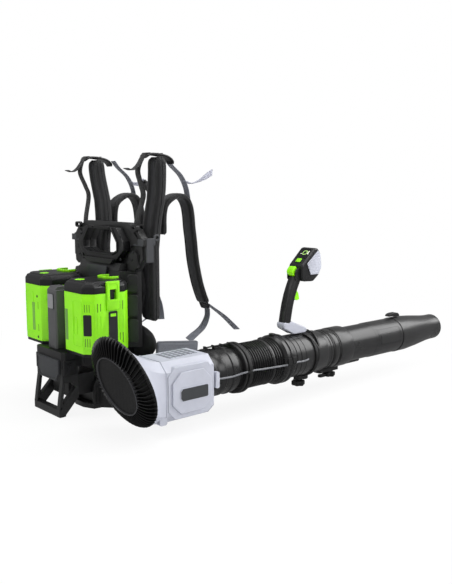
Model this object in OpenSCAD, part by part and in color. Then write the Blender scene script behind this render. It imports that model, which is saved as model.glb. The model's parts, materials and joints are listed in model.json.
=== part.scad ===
// Backpack leaf blower with two lift-out battery packs.
// +X is the wearer's right, +Y is forward along the blower tube, +Z is up.
// The origin is on the floor, under the middle of the pack.

/* [Pack frame] */
// Half width of the back frame beside the batteries
frame_half_w = 145; // [138:1:152]
// Half width of the frame's shoulders
shoulder_half_w = 181; // [174:1:184]
// Rear face of the back frame, towards the batteries
frame_rear_y = 26; // [24:1:30]
// Front face of the back frame, towards the wearer
frame_front_y = 76; // [72:1:84]
// Height of the frame's top edge
frame_top_z = 525; // [518:1:540]
// Height at which the frame flares out to its shoulders
frame_waist_z = 392; // [386:1:396]
// Wall thickness of the back frame
frame_wall = 5; // [3:0.5:8]
// Half width of the carry handle's opening
grab_half_w = 90; // [80:1:94]
// Thickness of the carry handle's ring, front to back
grab_t = 22; // [16:1:26]

/* [Pack base] */
// Height of the battery dock's top face
dock_top_z = 179.7; // [175:0.1:186]
// Height of the battery dock
dock_h = 44; // [36:1:50]
// Half width of the dock's collar
dock_half_w = 78; // [74:1:84]
// Half width of the base column under the batteries
column_half_w = 100; // [90:1:106]
// Wall thickness of the base column
column_wall = 5; // [3:0.5:8]
// Thickness of the base flange that stands on the floor
flange_t = 14; // [10:1:18]
// Front edge of the base flange
flange_front_y = 150; // [140:1:160]
// Radius of the base flange's screw holes
base_hole_r = 3.5; // [2.5:0.1:4.5]
// Distance between the base flange's screw holes across the pack
base_hole_dx = 160; // [140:1:170]
// Distance between the base flange's screw holes front to back
base_hole_dy = 60; // [50:1:64]
// Half width of the rear foot loop
loop_half_w = 74; // [70:1:77]
// Rear face of the rear foot loop
loop_rear_y = -150; // [-158:1:-148]
// Front to back depth of the loop's side legs
loop_depth = 62; // [50:1:66]
// Height of the loop's bottom bar
loop_bar_h = 22; // [16:1:26]
// Width of the loop's side legs
loop_leg_w = 19; // [14:1:22]
// Half width of the post between the batteries
post_half_w = 25; // [20:1:30]
// Height of the post's top
post_top_z = 353; // [340:1:360]

/* [Batteries] */
// Gap between each battery and the pack's centre plane
battery_inset = 44.5; // [42:0.5:46]
// Width of a battery
battery_w = 140; // [132:1:144]
// Front to back depth of a battery
battery_d = 140; // [132:1:142]
// Gap between a battery and the back frame
battery_gap = 8; // [5:0.5:12]
// Height of a battery's green shell
battery_shell_h = 159; // [152:1:170]
// Height of a battery's black base rim
battery_rim_h = 8; // [6:0.5:11]
// Height of a battery's black cap
battery_cap_h = 41; // [34:1:46]
// Corner chamfer of a battery
battery_chamfer = 24; // [18:1:28]
// Wall thickness of a battery's shell
battery_wall = 3; // [2:0.5:4]
// Diameter of one lithium cell
cell_d = 21.4; // [18:0.1:23]
// Length of one lithium cell
cell_len = 70; // [65:0.5:72]
// Clearance between the corner cells and the shell's cut corners
cell_gap = 6.8; // [5:0.1:8]
// Width of a battery latch
latch_w = 40; // [34:1:46]
// Height of a battery latch
latch_h = 76; // [66:1:80]
// Thickness of a battery latch
latch_t = 6; // [5:0.5:8]
// How far a battery latch is pressed in to release
latch_travel = 3; // [2:0.5:4]

/* [Blower housing] */
// Distance from the pack's centre plane to the blower's axis
blower_x = 331; // [326:1:345]
// Height of the blower's axis above the floor
blower_z = 125; // [120:1:132]
// Radius of the intake grille
grille_r = 125; // [118:1:128]
// Backward lean of the intake grille
grille_tilt = 19; // [14:1:22]
// Thickness of the intake grille
grille_t = 9; // [7:0.5:12]
// Number of radial fins around the intake grille
fin_count = 60; // [40:2:72]
// Half width of the blower housing
housing_half_w = 70; // [66:1:76]
// Height of the blower housing's underside
housing_bottom_z = 35; // [28:1:42]
// Height of the blower housing's top
housing_top_z = 192; // [188:1:200]
// Length of the blower housing along the tube's axis
housing_len = 125; // [118:1:140]
// Corner chamfer of the blower housing
housing_chamfer = 24; // [18:1:28]
// Wall thickness of the blower housing
housing_wall = 4; // [3:0.5:6]
// Number of cooling slots on top of the housing
slot_count = 6; // [4:1:8]

/* [Fan and motor] */
// Inside radius of the air duct
duct_r = 56; // [52:0.5:57]
// Wall thickness of the fan duct
duct_wall = 3; // [2:0.5:4]
// Gap between the fan blades' tips and the duct
fan_tip_gap = 1.2; // [0.8:0.1:2]
// Number of fan blades
blade_count = 12; // [8:1:14]
// Number of fixed guide vanes behind the fan
vane_count = 7; // [5:1:11]
// Outside radius of the motor
motor_r = 24; // [20:0.5:26]
// Radius of the motor shaft
shaft_r = 4; // [3:0.5:5]
// Radial running clearance of the shaft in its bearings
running_clearance = 0.05; // [0.02:0.01:0.09]

/* [Hose] */
// How far the hose's ribs stand out past the rear tube
rib_stand = 4; // [2.5:0.5:6]
// Wall thickness of the hose
hose_wall = 3; // [2.5:0.1:3.5]
// Length of the corrugated hose
hose_len = 126; // [110:1:140]
// Spacing between the hose's ribs
rib_pitch = 8.4; // [7.8:0.1:12]
// How far the hose bands stand out past the hose's ribs
band_stand = 12; // [9:0.5:14]
// Radius of the control cable
cable_r = 3; // [2.5:0.1:4]

/* [Tube] */
// Outside radius of the rear tube
rear_tube_r = 59; // [58.5:0.1:60.5]
// Wall thickness of the rear tube and the main pipe
tube_wall = 3; // [2:0.1:3.3]
// Radial sliding clearance of the main pipe in the rear tube
pipe_clearance = 0.5; // [0.3:0.1:1]
// Length of the rear tube
rear_tube_len = 283; // [276:1:300]
// Length of the main pipe's part outside the rear tube
pipe_out_len = 289; // [270:1:320]
// Radius of the nozzle's mouth
mouth_r = 41; // [36:0.5:44]
// Wall thickness of the nozzle
nozzle_wall = 2.5; // [2:0.1:3.5]
// Length of the nozzle past the main pipe
nozzle_len = 217; // [200:1:240]

/* [Control handle] */
// Width of the grip
grip_w = 32; // [28:1:36]
// Front to back depth of the grip
grip_d = 31; // [28:1:34]
// Half width of the control head
head_half_w = 28; // [25:1:32]
// Width of the throttle trigger
trigger_w = 12; // [9:0.5:14]
// Radius of the adjusting knobs
knob_r = 21; // [17:0.5:24]

/* [Harness] */
// Distance of the upright pads from the centre plane
upright_x = 158; // [150:1:164]
// How far the upright pads draw in below the shoulders
upright_draw = 31; // [24:1:34]
// Width of an upright pad
upright_w = 58; // [48:1:62]
// Thickness of an upright pad
upright_t = 30; // [24:1:34]
// Distance of the shoulder straps from the centre plane
strap_x = 126; // [120:1:130]
// Width of a shoulder strap
strap_w = 50; // [42:1:56]
// Thickness of a shoulder strap
strap_t = 13; // [9:1:16]
// Width of the webbing
webbing_w = 24; // [18:1:28]
// Thickness of the webbing
webbing_t = 2; // [1.5:0.1:3]

/* [Hidden] */

$fn = 72;
// Clearance between pieces that touch across a joint
gap = 0.3;
// Overshoot of a cutting solid past the face it cuts
cut = 1;
// Small step that keeps a cut clear of an edge
eps = 0.01;

plastic = [0.14, 0.14, 0.15];
dark_plastic = [0.09, 0.09, 0.10];
mid_grey = [0.34, 0.34, 0.36];
pale_grey = [0.78, 0.79, 0.84];
lime = [0.45, 0.85, 0.10];
steel = [0.62, 0.63, 0.65];
fabric = [0.15, 0.15, 0.16];
web_grey = [0.50, 0.51, 0.55];

// ---- Stations along the tube's axis ----
housing_y0 = 0;
housing_y1 = housing_y0 + housing_len;
collar_y1 = housing_y1 + 85;
band_len = 53;
hose_y0 = collar_y1 + 29 + band_len;
hoop_len = rib_pitch;
rear_hose_len = round((hose_len - hoop_len) / 2 / rib_pitch) * rib_pitch;
hoop_y0 = hose_y0 + rear_hose_len;
hose_y1 = hoop_y0 + hoop_len + rear_hose_len;
swing_y = hose_y0 + rear_hose_len / 2;
lift_y = hose_y1 - rear_hose_len / 2;
front_band_len = 44;
cable_y1 = hose_y1 + front_band_len + 6;
rear_tube_y1 = hose_y1 + rear_tube_len;
ring_y0 = rear_tube_y1 - 62;
pipe_y0 = rear_tube_y1 - 130;
pipe_y1 = rear_tube_y1 + pipe_out_len;
nozzle_y1 = pipe_y1 + nozzle_len;

// ---- Radii along the tube ----
hose_r = rear_tube_r + rib_stand;
hose_valley_r = hose_r - rib_stand;
hose_bore_r = hose_valley_r - hose_wall;
band_r = hose_r + band_stand;
tube_bore_r = rear_tube_r - tube_wall;
pipe_r = tube_bore_r - pipe_clearance;
pipe_bore_r = pipe_r - tube_wall;
collar_r = duct_r + 7;
hub_r = motor_r + 5;
cable_x = blower_x + max(hose_r, collar_r) + 1.5 + cable_r;

// ---- Batteries ----
battery_z0 = dock_top_z + gap;
battery_y1 = frame_rear_y - battery_gap;
battery_y0 = battery_y1 - battery_d;
battery_x1 = battery_inset + battery_w;
battery_mid_x = battery_inset + battery_w / 2;
battery_mid_y = battery_y0 + battery_d / 2;
terminal_x = battery_mid_x - 22;
shell_z0 = battery_z0 + battery_rim_h;
cell_pitch = (battery_w - battery_chamfer - sqrt(2) * (battery_wall + cell_d / 2 + cell_gap)) / 3;
cap_z0 = shell_z0 + battery_shell_h;
battery_z1 = cap_z0 + battery_cap_h;
latch_z1 = battery_z1 - 10;
latch_z0 = latch_z1 - latch_h;
latch_mid_y = battery_mid_y + 8;

// ---- Control handle, all measured from the clamp ----
clamp_y0 = hose_y1 + 100;
clamp_len = 34;
clamp_y1 = clamp_y0 + clamp_len;
cuff_r = rear_tube_r + 5;
cuff_y1 = clamp_y1 + 30;
clamp_bore_r = cuff_r + gap;
clamp_r = clamp_bore_r + 8;
handle_y = clamp_y0 + clamp_len / 2;
handle_z = blower_z + clamp_r;
knob_y = handle_y - 21;
knob_z = blower_z - clamp_r - 8;

// ---- Main pipe's rack and its lock ----
rack_w = 12;
rack_h = 7;
rack_y0 = rear_tube_y1 - 70;
rack_channel_y0 = rack_y0 - 26;
rack_y1 = rear_tube_y1 + 95;
ring_r = rear_tube_r + 5;
lock_z = blower_z - ring_r - 10;
lock_y = ring_y0 + 14;

// ---- Small helpers ----
module tube_axis(y) {
    translate([blower_x, y, blower_z]) rotate([-90, 0, 0]) children();
}

module turned(profile) {
    tube_axis(0) rotate_extrude($fn = 96) polygon(profile);
}

module ring_y(y0, y1, r_out, r_in) {
    turned([[r_in, y0], [r_out, y0], [r_out, y1], [r_in, y1]]);
}

module prism_xz(y0, y1) {
    translate([0, y1, 0]) rotate([90, 0, 0]) linear_extrude(y1 - y0) children();
}

module prism_yz(x0, x1) {
    translate([x0, 0, 0]) rotate([90, 0, 90]) linear_extrude(x1 - x0) children();
}

module prism_xy(z0, z1) {
    translate([0, 0, z0]) linear_extrude(z1 - z0) children();
}

module box(low, high) {
    translate(low) cube(high - low);
}

module both_sides() {
    children();
    mirror([1, 0, 0]) children();
}

// Rectangle with cut corners, from its low corner to its high corner
function cut_rect(x0, y0, x1, y1, c) =
    [[x0 + c, y0], [x1 - c, y0], [x1, y0 + c], [x1, y1 - c],
     [x1 - c, y1], [x0 + c, y1], [x0, y1 - c], [x0, y0 + c]];

// Signed power, for superellipse sections
function spow(v, p) = sign(v) * pow(abs(v), p);

// Crowned section of a pad: width w, thickness t, as n points
function pad_section(w, t, n) =
    [for (i = [0 : n - 1]) let (a = 360 * i / n)
        [w / 2 * spow(cos(a), 0.55), t / 2 * spow(sin(a), 0.8)]];

// Unit normal of a path in the YZ plane at point i
function path_normal(p, i) =
    let (a = p[max(i - 1, 0)], b = p[min(i + 1, len(p) - 1)], d = b - a, l = norm(d))
    [-d[1] / l, d[0] / l];

// Closed pad swept along a path in the YZ plane, at distance x from the centre plane, or at
// the distances x, one for each point. The ends are drawn in to a share of the section.
module swept_pad(path, x, w, t, n = 12, end_w = 0.8, end_t = 0.45) {
    last = len(path) - 1;
    points = [for (i = [0 : last])
        let (nv = path_normal(path, i),
             tip = (i == 0 || i == last),
             s = pad_section(w * (tip ? end_w : 1), t * (tip ? end_t : 1), n))
        for (q = s) [(is_list(x) ? x[i] : x) + q[0], path[i][0] + nv[0] * q[1], path[i][1] + nv[1] * q[1]]];
    sides = [for (i = [0 : last - 1]) for (j = [0 : n - 1])
        let (a = i * n + j, b = i * n + (j + 1) % n)
        each [[a, b, b + n], [a, b + n, a + n]]];
    start_cap = [for (j = [1 : n - 2]) [0, j + 1, j]];
    end_cap = [for (j = [1 : n - 2]) [last * n, last * n + j, last * n + j + 1]];
    polyhedron(points, concat(sides, start_cap, end_cap));
}

// Flat webbing along a path in the YZ plane
module ribbon(path, x, w, t) {
    last = len(path) - 1;
    left = [for (i = [0 : last]) path[i] + path_normal(path, i) * t / 2];
    right = [for (i = [last : -1 : 0]) path[i] - path_normal(path, i) * t / 2];
    prism_yz(x - w / 2, x + w / 2) polygon(concat(left, right));
}

// Straight stretch of the control cable beside the tube
module cable_run(y0, y1) {
    translate([cable_x, y0, blower_z]) rotate([-90, 0, 0]) cylinder(h = y1 - y0, r = cable_r, $fn = 24);
}

// Hole that lets the cable through a band or a lug
module cable_hole(y0, y1) {
    translate([cable_x, y0, blower_z]) rotate([-90, 0, 0]) cylinder(h = y1 - y0, r = cable_r, $fn = 24);
}

// Knurled knob with its axis along Z, its top face at z
module star_knob(x, y, z, r, h) {
    translate([x, y, z - h]) difference() {
        cylinder(h = h, r = r);
        for (i = [0 : 7]) rotate([0, 0, 45 * i]) translate([r + 2.5, 0, -cut])
            cylinder(h = h + 2 * cut, r = 5, $fn = 24);
    }
}

// ---- Pack frame ----
grab_y0 = frame_rear_y + 8;
grab_y1 = grab_y0 + grab_t;
shoulder_z0 = frame_waist_z + 36;
shoulder_z1 = frame_top_z - 40;
frame_corner_z = frame_top_z - 18;
frame_corner_y = frame_front_y - 14;
frame_corner_x = frame_half_w - 33;
grab_z0 = shoulder_z0 + 8;
grab_side_z0 = grab_z0 + 11;
grab_side_z1 = frame_corner_z - 37;
grab_ring_z0 = shoulder_z0 - 15;
grab_ring_w = grab_half_w + 30;
grab_flat = 60;
grab_opening = [[-grab_half_w, grab_side_z0], [-grab_flat, grab_z0],
                [grab_flat, grab_z0], [grab_half_w, grab_side_z0],
                [grab_half_w, grab_side_z1], [grab_flat, frame_corner_z],
                [-grab_flat, frame_corner_z], [-grab_half_w, grab_side_z1]];

// Outline that is the same on both sides of the centre plane, given by its right half
function mirrored(half) = concat(half, [for (i = [len(half) - 1 : -1 : 0]) [-half[i][0], half[i][1]]]);

module upper_outline() {
    polygon(mirrored([[frame_half_w, frame_waist_z], [shoulder_half_w, shoulder_z0],
                      [shoulder_half_w - 4, shoulder_z1],
                      [shoulder_half_w - 25, frame_corner_z], [shoulder_half_w - 71, frame_top_z]]));
}

module lower_plan(inset) {
    polygon(mirrored([[frame_corner_x - inset / 2, frame_rear_y + inset],
                      [frame_half_w - inset, frame_corner_y],
                      [frame_half_w - inset, frame_front_y]]));
}

hook_x0 = upright_x + upright_w / 2 + gap;
hook_x1 = hook_x0 + 5;
hook_z = shoulder_z1 - 12;

// Arm on the shoulder's outer edge, with the ring that the harness hooks into
module hook_bracket() {
    leg_z = shoulder_z0 - 8;
    ring_y = frame_front_y + 20;
    box([grab_ring_w + 13, grab_y1 - 4, hook_z - 9], [hook_x1, frame_front_y, hook_z + 9]);
    box([shoulder_half_w - 4, frame_front_y - 14, leg_z + 6], [hook_x1, frame_front_y, hook_z]);
    prism_yz(hook_x0, hook_x1) difference() {
        union() {
            polygon([[frame_front_y - 14, leg_z], [frame_front_y + 8, leg_z], [frame_front_y + 8, hook_z - 9],
                     [ring_y - 6, hook_z - 9], [ring_y - 6, hook_z + 9], [frame_front_y - 14, hook_z + 9]]);
            translate([ring_y, hook_z + 11]) circle(r = 9);
        }
        translate([ring_y, hook_z + 11]) circle(r = 5);
    }
}

module back_frame() {
    color(plastic) both_sides() hook_bracket();
    color(plastic) difference() {
        union() {
            prism_xy(dock_top_z, frame_waist_z) lower_plan(0);
            prism_xz(grab_y1, frame_front_y) upper_outline();
            prism_yz(-105, 105)
                polygon([[frame_rear_y, frame_waist_z - eps], [grab_y1 + eps, frame_waist_z - eps],
                         [grab_y1 + eps, grab_ring_z0], [grab_y0, grab_ring_z0]]);
        }
        difference() {
            prism_xy(dock_top_z + frame_wall, frame_waist_z - frame_wall) {
                lower_plan(frame_wall);
                translate([0, frame_wall + cut]) lower_plan(frame_wall);
            }
            for (s = [-1, 1])
                box([s * 60 - 3, frame_rear_y, dock_top_z], [s * 60 + 3, frame_front_y, frame_waist_z]);
        }
        prism_xz(grab_y0 - cut, frame_front_y + cut) polygon(grab_opening);
    }
}

module carry_handle() {
    color(dark_plastic) prism_xz(grab_y0, grab_y1) difference() {
        polygon(mirrored([[73, grab_ring_z0], [grab_ring_w, grab_side_z0 + 2],
                          [grab_ring_w, grab_side_z1 + 4],
                          [85, frame_corner_z + 4]]));
        polygon(grab_opening);
    }
}

// ---- Pack base ----
column_y0 = -20;
column_rear_half_w = 46;
column_side_y = 26;
dock_z0 = dock_top_z - dock_h;
outrigger_x = blower_x - housing_half_w - 11;
outrigger_y1 = 130;
base_hole_y = frame_front_y + 14;
flange_half_w = column_half_w + 10;
flange_rear_y = -47;
rib_x0 = column_rear_half_w + 1;
rib_x1 = rib_x0 + 11;

module base_plan() {
    polygon([[-22, flange_rear_y], [22, flange_rear_y], [rib_x1, column_y0 - 12],
             [rib_x1 + 3, column_y0 + 37],
             [flange_half_w, 20], [outrigger_x, 24], [outrigger_x, outrigger_y1],
             [flange_half_w, flange_front_y],
             [-flange_half_w, flange_front_y], [-flange_half_w, 20], [-rib_x1 - 3, column_y0 + 37],
             [-rib_x1, column_y0 - 12]]);
}

module column_plan(inset) {
    polygon(mirrored([[column_rear_half_w - inset, column_y0 + inset], [column_half_w - inset, column_side_y],
                      [column_half_w - inset, frame_front_y - inset]]));
}

module base_column() {
    inner_wall_x = 32;
    color(plastic) both_sides() prism_yz(rib_x0, rib_x1)
        polygon([[column_y0 - 12, flange_t - eps], [column_y0 + 14, flange_t - eps],
                 [column_y0 + 14, dock_z0 - 44],
                 [column_y0 + 2, dock_z0 - 44], [column_y0 - 12, dock_z0 - 66]]);
    color(plastic) difference() {
        union() {
            prism_xy(0, flange_t) base_plan();
            prism_xy(0, dock_z0) column_plan(0);
        }
        difference() {
            prism_xy(flange_t, dock_z0 + cut) column_plan(column_wall);
            for (s = [-1, 1])
                box([s * inner_wall_x - column_wall / 2, column_y0, 0],
                    [s * inner_wall_x + column_wall / 2, frame_front_y, dock_z0]);
        }
        for (s = [-1, 1]) translate([s * 34, flange_rear_y + 15, -cut])
            cylinder(h = flange_t + 2 * cut, r = base_hole_r);
        for (sx = [-1, 1], sy = [-1, 1])
            translate([sx * base_hole_dx / 2, base_hole_y + sy * base_hole_dy / 2, -cut])
                cylinder(h = flange_t + 2 * cut, r = base_hole_r);
    }
}

plate_drop = 38;

// The legs rise behind the rear bar, so the loop stands on its bar alone
module foot_loop() {
    leg_in = loop_half_w - loop_leg_w;
    y1 = loop_rear_y + loop_depth;
    leg_rise = 20;
    color(plastic) {
        box([-loop_half_w, loop_rear_y, 0], [loop_half_w, loop_rear_y + loop_bar_h, loop_bar_h]);
        both_sides() prism_yz(leg_in, loop_half_w)
            polygon([[loop_rear_y + loop_bar_h, 0], [y1, leg_rise], [y1, dock_z0],
                     [loop_rear_y + 12, dock_z0],
                     [loop_rear_y + 12, dock_z0 - plate_drop], [loop_rear_y + 4, 49],
                     [loop_rear_y, loop_bar_h], [loop_rear_y + loop_bar_h, loop_bar_h]]);
        box([-leg_in, y1 - 16, dock_z0 - 28], [leg_in, y1, dock_z0]);
    }
}

module dock_plan() {
    polygon(mirrored([[dock_half_w - 8, loop_rear_y + 12], [dock_half_w, loop_rear_y + 20],
                      [dock_half_w, -80],
                      [column_half_w, -50], [column_half_w, frame_front_y]]));
}

module battery_dock() {
    lug_y0 = loop_rear_y + 14;
    lug_y1 = lug_y0 + 38;
    lug_x = loop_half_w + gap;
    color(dark_plastic) difference() {
        union() {
            prism_xy(dock_z0, dock_top_z) dock_plan();
            both_sides() box([lug_x, lug_y0, dock_z0 - 20], [dock_half_w + 3, lug_y1, dock_z0 + 22]);
        }
        prism_xy(dock_z0 - cut, dock_top_z - 8)
            polygon(mirrored([[dock_half_w - 15, -72], [dock_half_w - 15, column_y0 + 58]]));
        for (s = [-1, 1]) translate([s * (dock_half_w + 3 + cut), lug_y0 + 18, dock_z0 + 7])
            rotate([0, -90 * s, 0])
            cylinder(h = 12, r = 5);
        for (s = [-1, 1]) translate([s * terminal_x, 0, 0])
            box([-24, battery_mid_y - 14, dock_top_z - 3], [24, battery_mid_y + 14, dock_top_z + cut]);
    }
}

module dock_post() {
    z0 = dock_top_z;
    y0 = battery_y0 - 4;
    y1 = y0 + 46;
    color(plastic) {
        difference() {
            prism_xy(z0, post_top_z - 10) polygon(cut_rect(-post_half_w, y0, post_half_w, y1, 4));
            prism_xy(z0 + 10, post_top_z - 20) polygon(cut_rect(-post_half_w + 6, y0 + 8, post_half_w - 6,
                y1 + cut, 3));
        }
        prism_yz(-post_half_w + 4, post_half_w - 4)
            polygon([[y0, post_top_z - 10], [y1, post_top_z - 10], [y1 - 8, post_top_z],
                     [y0 + 10, post_top_z]]);
    }
}

module dock_terminals() {
    color(steel) for (s = [-1, 1]) translate([s * terminal_x, 0, 0]) {
        for (i = [-2 : 2])
            box([i * 8 - 1, battery_mid_y - 10, dock_top_z - 3],
                [i * 8 + 1, battery_mid_y + 10, dock_top_z + 5]);
        box([-22, battery_mid_y - 12, dock_top_z - 3], [22, battery_mid_y + 12, dock_top_z - 1]);
    }
}

module badge_plates() {
    rear_y = loop_rear_y + 12;
    plate_y = frame_rear_y - 1;
    plate_z0 = frame_waist_z - 27;
    plate_z1 = plate_z0 + 38;
    color(mid_grey) {
        prism_xz(rear_y - 5, rear_y)
            polygon(mirrored([[44, dock_z0 - plate_drop], [62, dock_z0 - 14], [62, dock_z0 + 22]]));
        prism_xz(plate_y - battery_gap + 3, plate_y) polygon(mirrored([[44, plate_z0], [55, plate_z1]]));
        prism_xz(plate_y - eps, frame_rear_y) polygon(mirrored([[36, plate_z0 + 7], [40, plate_z1 - 12]]));
        box([-16, battery_y0 - 6, post_top_z - 62], [16, battery_y0 - 4, post_top_z - 20]);
    }
    color(plastic) box([-30, rear_y - eps, dock_z0 - 24], [30, rear_y + 10, dock_z0]);
}

controller_y0 = loop_rear_y + 46;
controller_z0 = 46;
controller_z1 = dock_z0 - 30;

controller_half_w = column_rear_half_w - 2;

module controller_box() {
    w = controller_half_w;
    color(plastic) difference() {
        box([-w, controller_y0, controller_z0], [w, column_y0, controller_z1]);
        box([-w + 4, controller_y0 + 4, controller_z0 + 4], [w - 4, column_y0 + cut, controller_z1 - 4]);
    }
}

module controller_board() {
    board_y = controller_y0 + 18;
    board_z0 = controller_z0 + 10;
    board_w = controller_half_w - 8;
    color("darkgreen") {
        box([-board_w, board_y, board_z0], [board_w, board_y + 2, controller_z1 - 8]);
        for (i = [-1 : 1])
            box([i * 22 - 8, board_y + 2 - eps, board_z0 + 4], [i * 22 + 8, board_y + 16, board_z0 + 18]);
        for (s = [-1, 1])
            box([s * (board_w - 6) - 4, controller_y0 + 4, board_z0 - 4],
                [s * (board_w - 6) + 4, board_y + eps, board_z0 + 4]);
        for (s = [-1, 1]) translate([s * 18, board_y + 2 - eps, board_z0 + 30])
            rotate([-90, 0, 0]) cylinder(h = 22, r = 6);
    }
}

module blower_bracket() {
    color(plastic) {
        prism_xz(40, 100) polygon([[outrigger_x - 14, flange_t], [outrigger_x, flange_t],
                                   [blower_x - housing_half_w, housing_bottom_z + housing_chamfer],
                                   [blower_x - housing_half_w, housing_top_z - housing_chamfer],
                                   [outrigger_x - 8, housing_top_z - housing_chamfer]]);
        prism_xz(52, 76) polygon([[column_half_w, dock_z0 - 40], [outrigger_x - 10, dock_z0 - 24],
                                  [outrigger_x - 8, dock_z0], [column_half_w, dock_z0]]);
        prism_xz(60, 68) polygon([[column_half_w, flange_t], [outrigger_x - 14, flange_t],
                                  [outrigger_x - 14, flange_t + 26], [column_half_w, flange_t + 50]]);
    }
}

// ---- Blower housing ----
grille_y = -110;
grille_z = 145;

module grille_place() {
    translate([blower_x, grille_y, grille_z]) rotate([90 + grille_tilt, 0, 0]) children();
}

module housing_outline(inset) {
    polygon(cut_rect(blower_x - housing_half_w + inset, housing_bottom_z + inset,
                     blower_x + housing_half_w - inset, housing_top_z - inset, housing_chamfer - inset / 2));
}

module intake_grille() {
    inner_r = grille_r * 0.6;
    color(dark_plastic) grille_place() {
        difference() {
            cylinder(h = grille_t, r = grille_r);
            translate([0, 0, -cut]) cylinder(h = grille_t + 2 * cut, r = grille_r - 5);
        }
        difference() {
            cylinder(h = grille_t, r = inner_r + 3);
            translate([0, 0, -cut]) cylinder(h = grille_t + 2 * cut, r = inner_r);
        }
        for (i = [0 : fin_count - 1]) rotate([0, 0, 360 * i / fin_count])
            translate([inner_r + 2, -1, 0]) cube([grille_r - inner_r - 6, 2, grille_t - 1]);
        for (i = [-4 : 4]) intersection() {
            cylinder(h = grille_t - 3, r = inner_r + 1);
            union() {
                translate([i * 16 - 1, -inner_r, 0]) cube([2, 2 * inner_r, grille_t - 3]);
                translate([-inner_r, i * 16 - 1, 0]) cube([2 * inner_r, 2, grille_t - 3]);
            }
        }
    }
}

module cone_solid(inset, grow) {
    hull() {
        grille_place() translate([0, 0, -1]) cylinder(h = 1 + grow, r = grille_r - 1 - inset, $fn = 48);
        prism_xz(housing_y0 - 1, housing_y0 + grow) housing_outline(inset);
    }
}

module intake_cone() {
    color(pale_grey) difference() {
        cone_solid(0, 0);
        cone_solid(housing_wall, cut);
    }
}

cable_lug_y1 = housing_y1 + 12;

module motor_housing() {
    top_slots = [for (i = [0 : slot_count - 1]) housing_y0 + 18 + i * (housing_len - 46) / (slot_count - 1)];
    lug_z = housing_bottom_z - 13;
    color(pale_grey) {
        difference() {
            prism_xz(housing_y0, housing_y1) housing_outline(0);
            prism_xz(housing_y0 - cut, housing_y1 - housing_wall) housing_outline(housing_wall);
            tube_axis(housing_y1 - housing_wall - cut)
                cylinder(h = housing_wall + 2 * cut, r = duct_r + duct_wall + gap);
            for (y = top_slots)
                box([blower_x - 34, y, housing_top_z - housing_wall - cut],
                    [blower_x + 30, y + 7, housing_top_z + cut]);
        }
        for (y = [housing_y0 + 4, housing_y1 - 22])
            box([blower_x - 24, y, lug_z], [blower_x + 10, y + 18, housing_bottom_z]);
        difference() {
            box([blower_x + collar_r + gap, housing_y1 - eps, blower_z - 22],
                [blower_x + housing_half_w + 6, cable_lug_y1, blower_z + 22]);
            cable_hole(housing_y1 + 3, cable_lug_y1 + cut);
        }
    }
}

cover_y1 = housing_y1 - 6;

module side_cover() {
    x0 = blower_x + housing_half_w;
    z0 = housing_bottom_z + housing_chamfer;
    z1 = housing_top_z - housing_chamfer;
    color(pale_grey) {
        prism_yz(x0, x0 + 4) polygon(cut_rect(housing_y0 + 4, z0, cover_y1, z1, 16));
        prism_yz(x0 + 4, x0 + 8) polygon(cut_rect(housing_y0 + 14, z0 + 10, cover_y1 - 8, z1 - 10, 14));
    }
    color(mid_grey) prism_yz(x0 + 8, x0 + 10)
        polygon(cut_rect(housing_y0 + 24, blower_z - 34, cover_y1 - 14, blower_z, 6));
}

fan_y0 = 20;
fan_len = 30;
vane_y0 = fan_y0 + fan_len + 4;
motor_y1 = housing_y1 - 5;

module fan_duct() {
    y0 = housing_y0 + 4;
    color(plastic) {
        difference() {
            union() {
                ring_y(y0, housing_y1, duct_r + duct_wall, duct_r);
                prism_xz(y0, y0 + 4) difference() {
                    housing_outline(housing_wall + gap);
                    translate([blower_x, blower_z]) circle(r = duct_r + 1);
                }
            }
        }
        ring_y(vane_y0, motor_y1, hub_r, hub_r - 2.5);
        ring_y(vane_y0, vane_y0 + 3, hub_r - 2, 9);
        ring_y(motor_y1 - 3, motor_y1, hub_r - 2, 9);
        for (i = [0 : vane_count - 1]) tube_axis(vane_y0 + 4) rotate([0, 0, 360 * i / vane_count])
            translate([hub_r - 1, -1.5, 0]) cube([duct_r - hub_r + 2, 3, motor_y1 - vane_y0 - 12]);
    }
}

module motor_stator() {
    color("peru") difference() {
        ring_y(vane_y0 + 8, motor_y1 - 8, hub_r - 2.5, motor_r - 11);
        for (i = [0 : 5]) tube_axis(vane_y0) rotate([0, 0, 60 * i]) translate([motor_r - 6, 0, 0])
            cylinder(h = motor_y1 - vane_y0, r = 2.5, $fn = 24);
    }
}

module motor_bearings() {
    color(steel) {
        ring_y(vane_y0 - 1, vane_y0 + 7, 9, shaft_r + running_clearance);
        ring_y(motor_y1 - 7, motor_y1 + 1, 9, shaft_r + running_clearance);
    }
}

module motor_shaft() {
    color(steel) {
        tube_axis(fan_y0 - 4) cylinder(h = motor_y1 + 2 - fan_y0 + 4, r = shaft_r);
        ring_y(vane_y0 + 10, motor_y1 - 10, motor_r - 12, shaft_r - eps);
    }
}

module fan_rotor() {
    color(plastic) difference() {
        union() {
            turned([[0, fan_y0 - 14], [10, fan_y0 - 12], [20, fan_y0 - 5], [hub_r - 1, fan_y0 + 4],
                    [hub_r - 1, fan_y0 + fan_len], [0, fan_y0 + fan_len]]);
            intersection() {
                tube_axis(fan_y0) cylinder(h = fan_len, r = duct_r - fan_tip_gap);
                for (i = [0 : blade_count - 1]) tube_axis(fan_y0 + fan_len / 2)
                    rotate([0, 0, 360 * i / blade_count])
                    translate([hub_r - 3, 0, 0]) rotate([38, 0, 0]) translate([0, -1.2, -fan_len / 2 + 1])
                        cube([duct_r, 2.4, fan_len - 2]);
            }
        }
        tube_axis(fan_y0 - 4) cylinder(h = fan_len + 4 + cut, r = shaft_r);
    }
}

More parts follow.
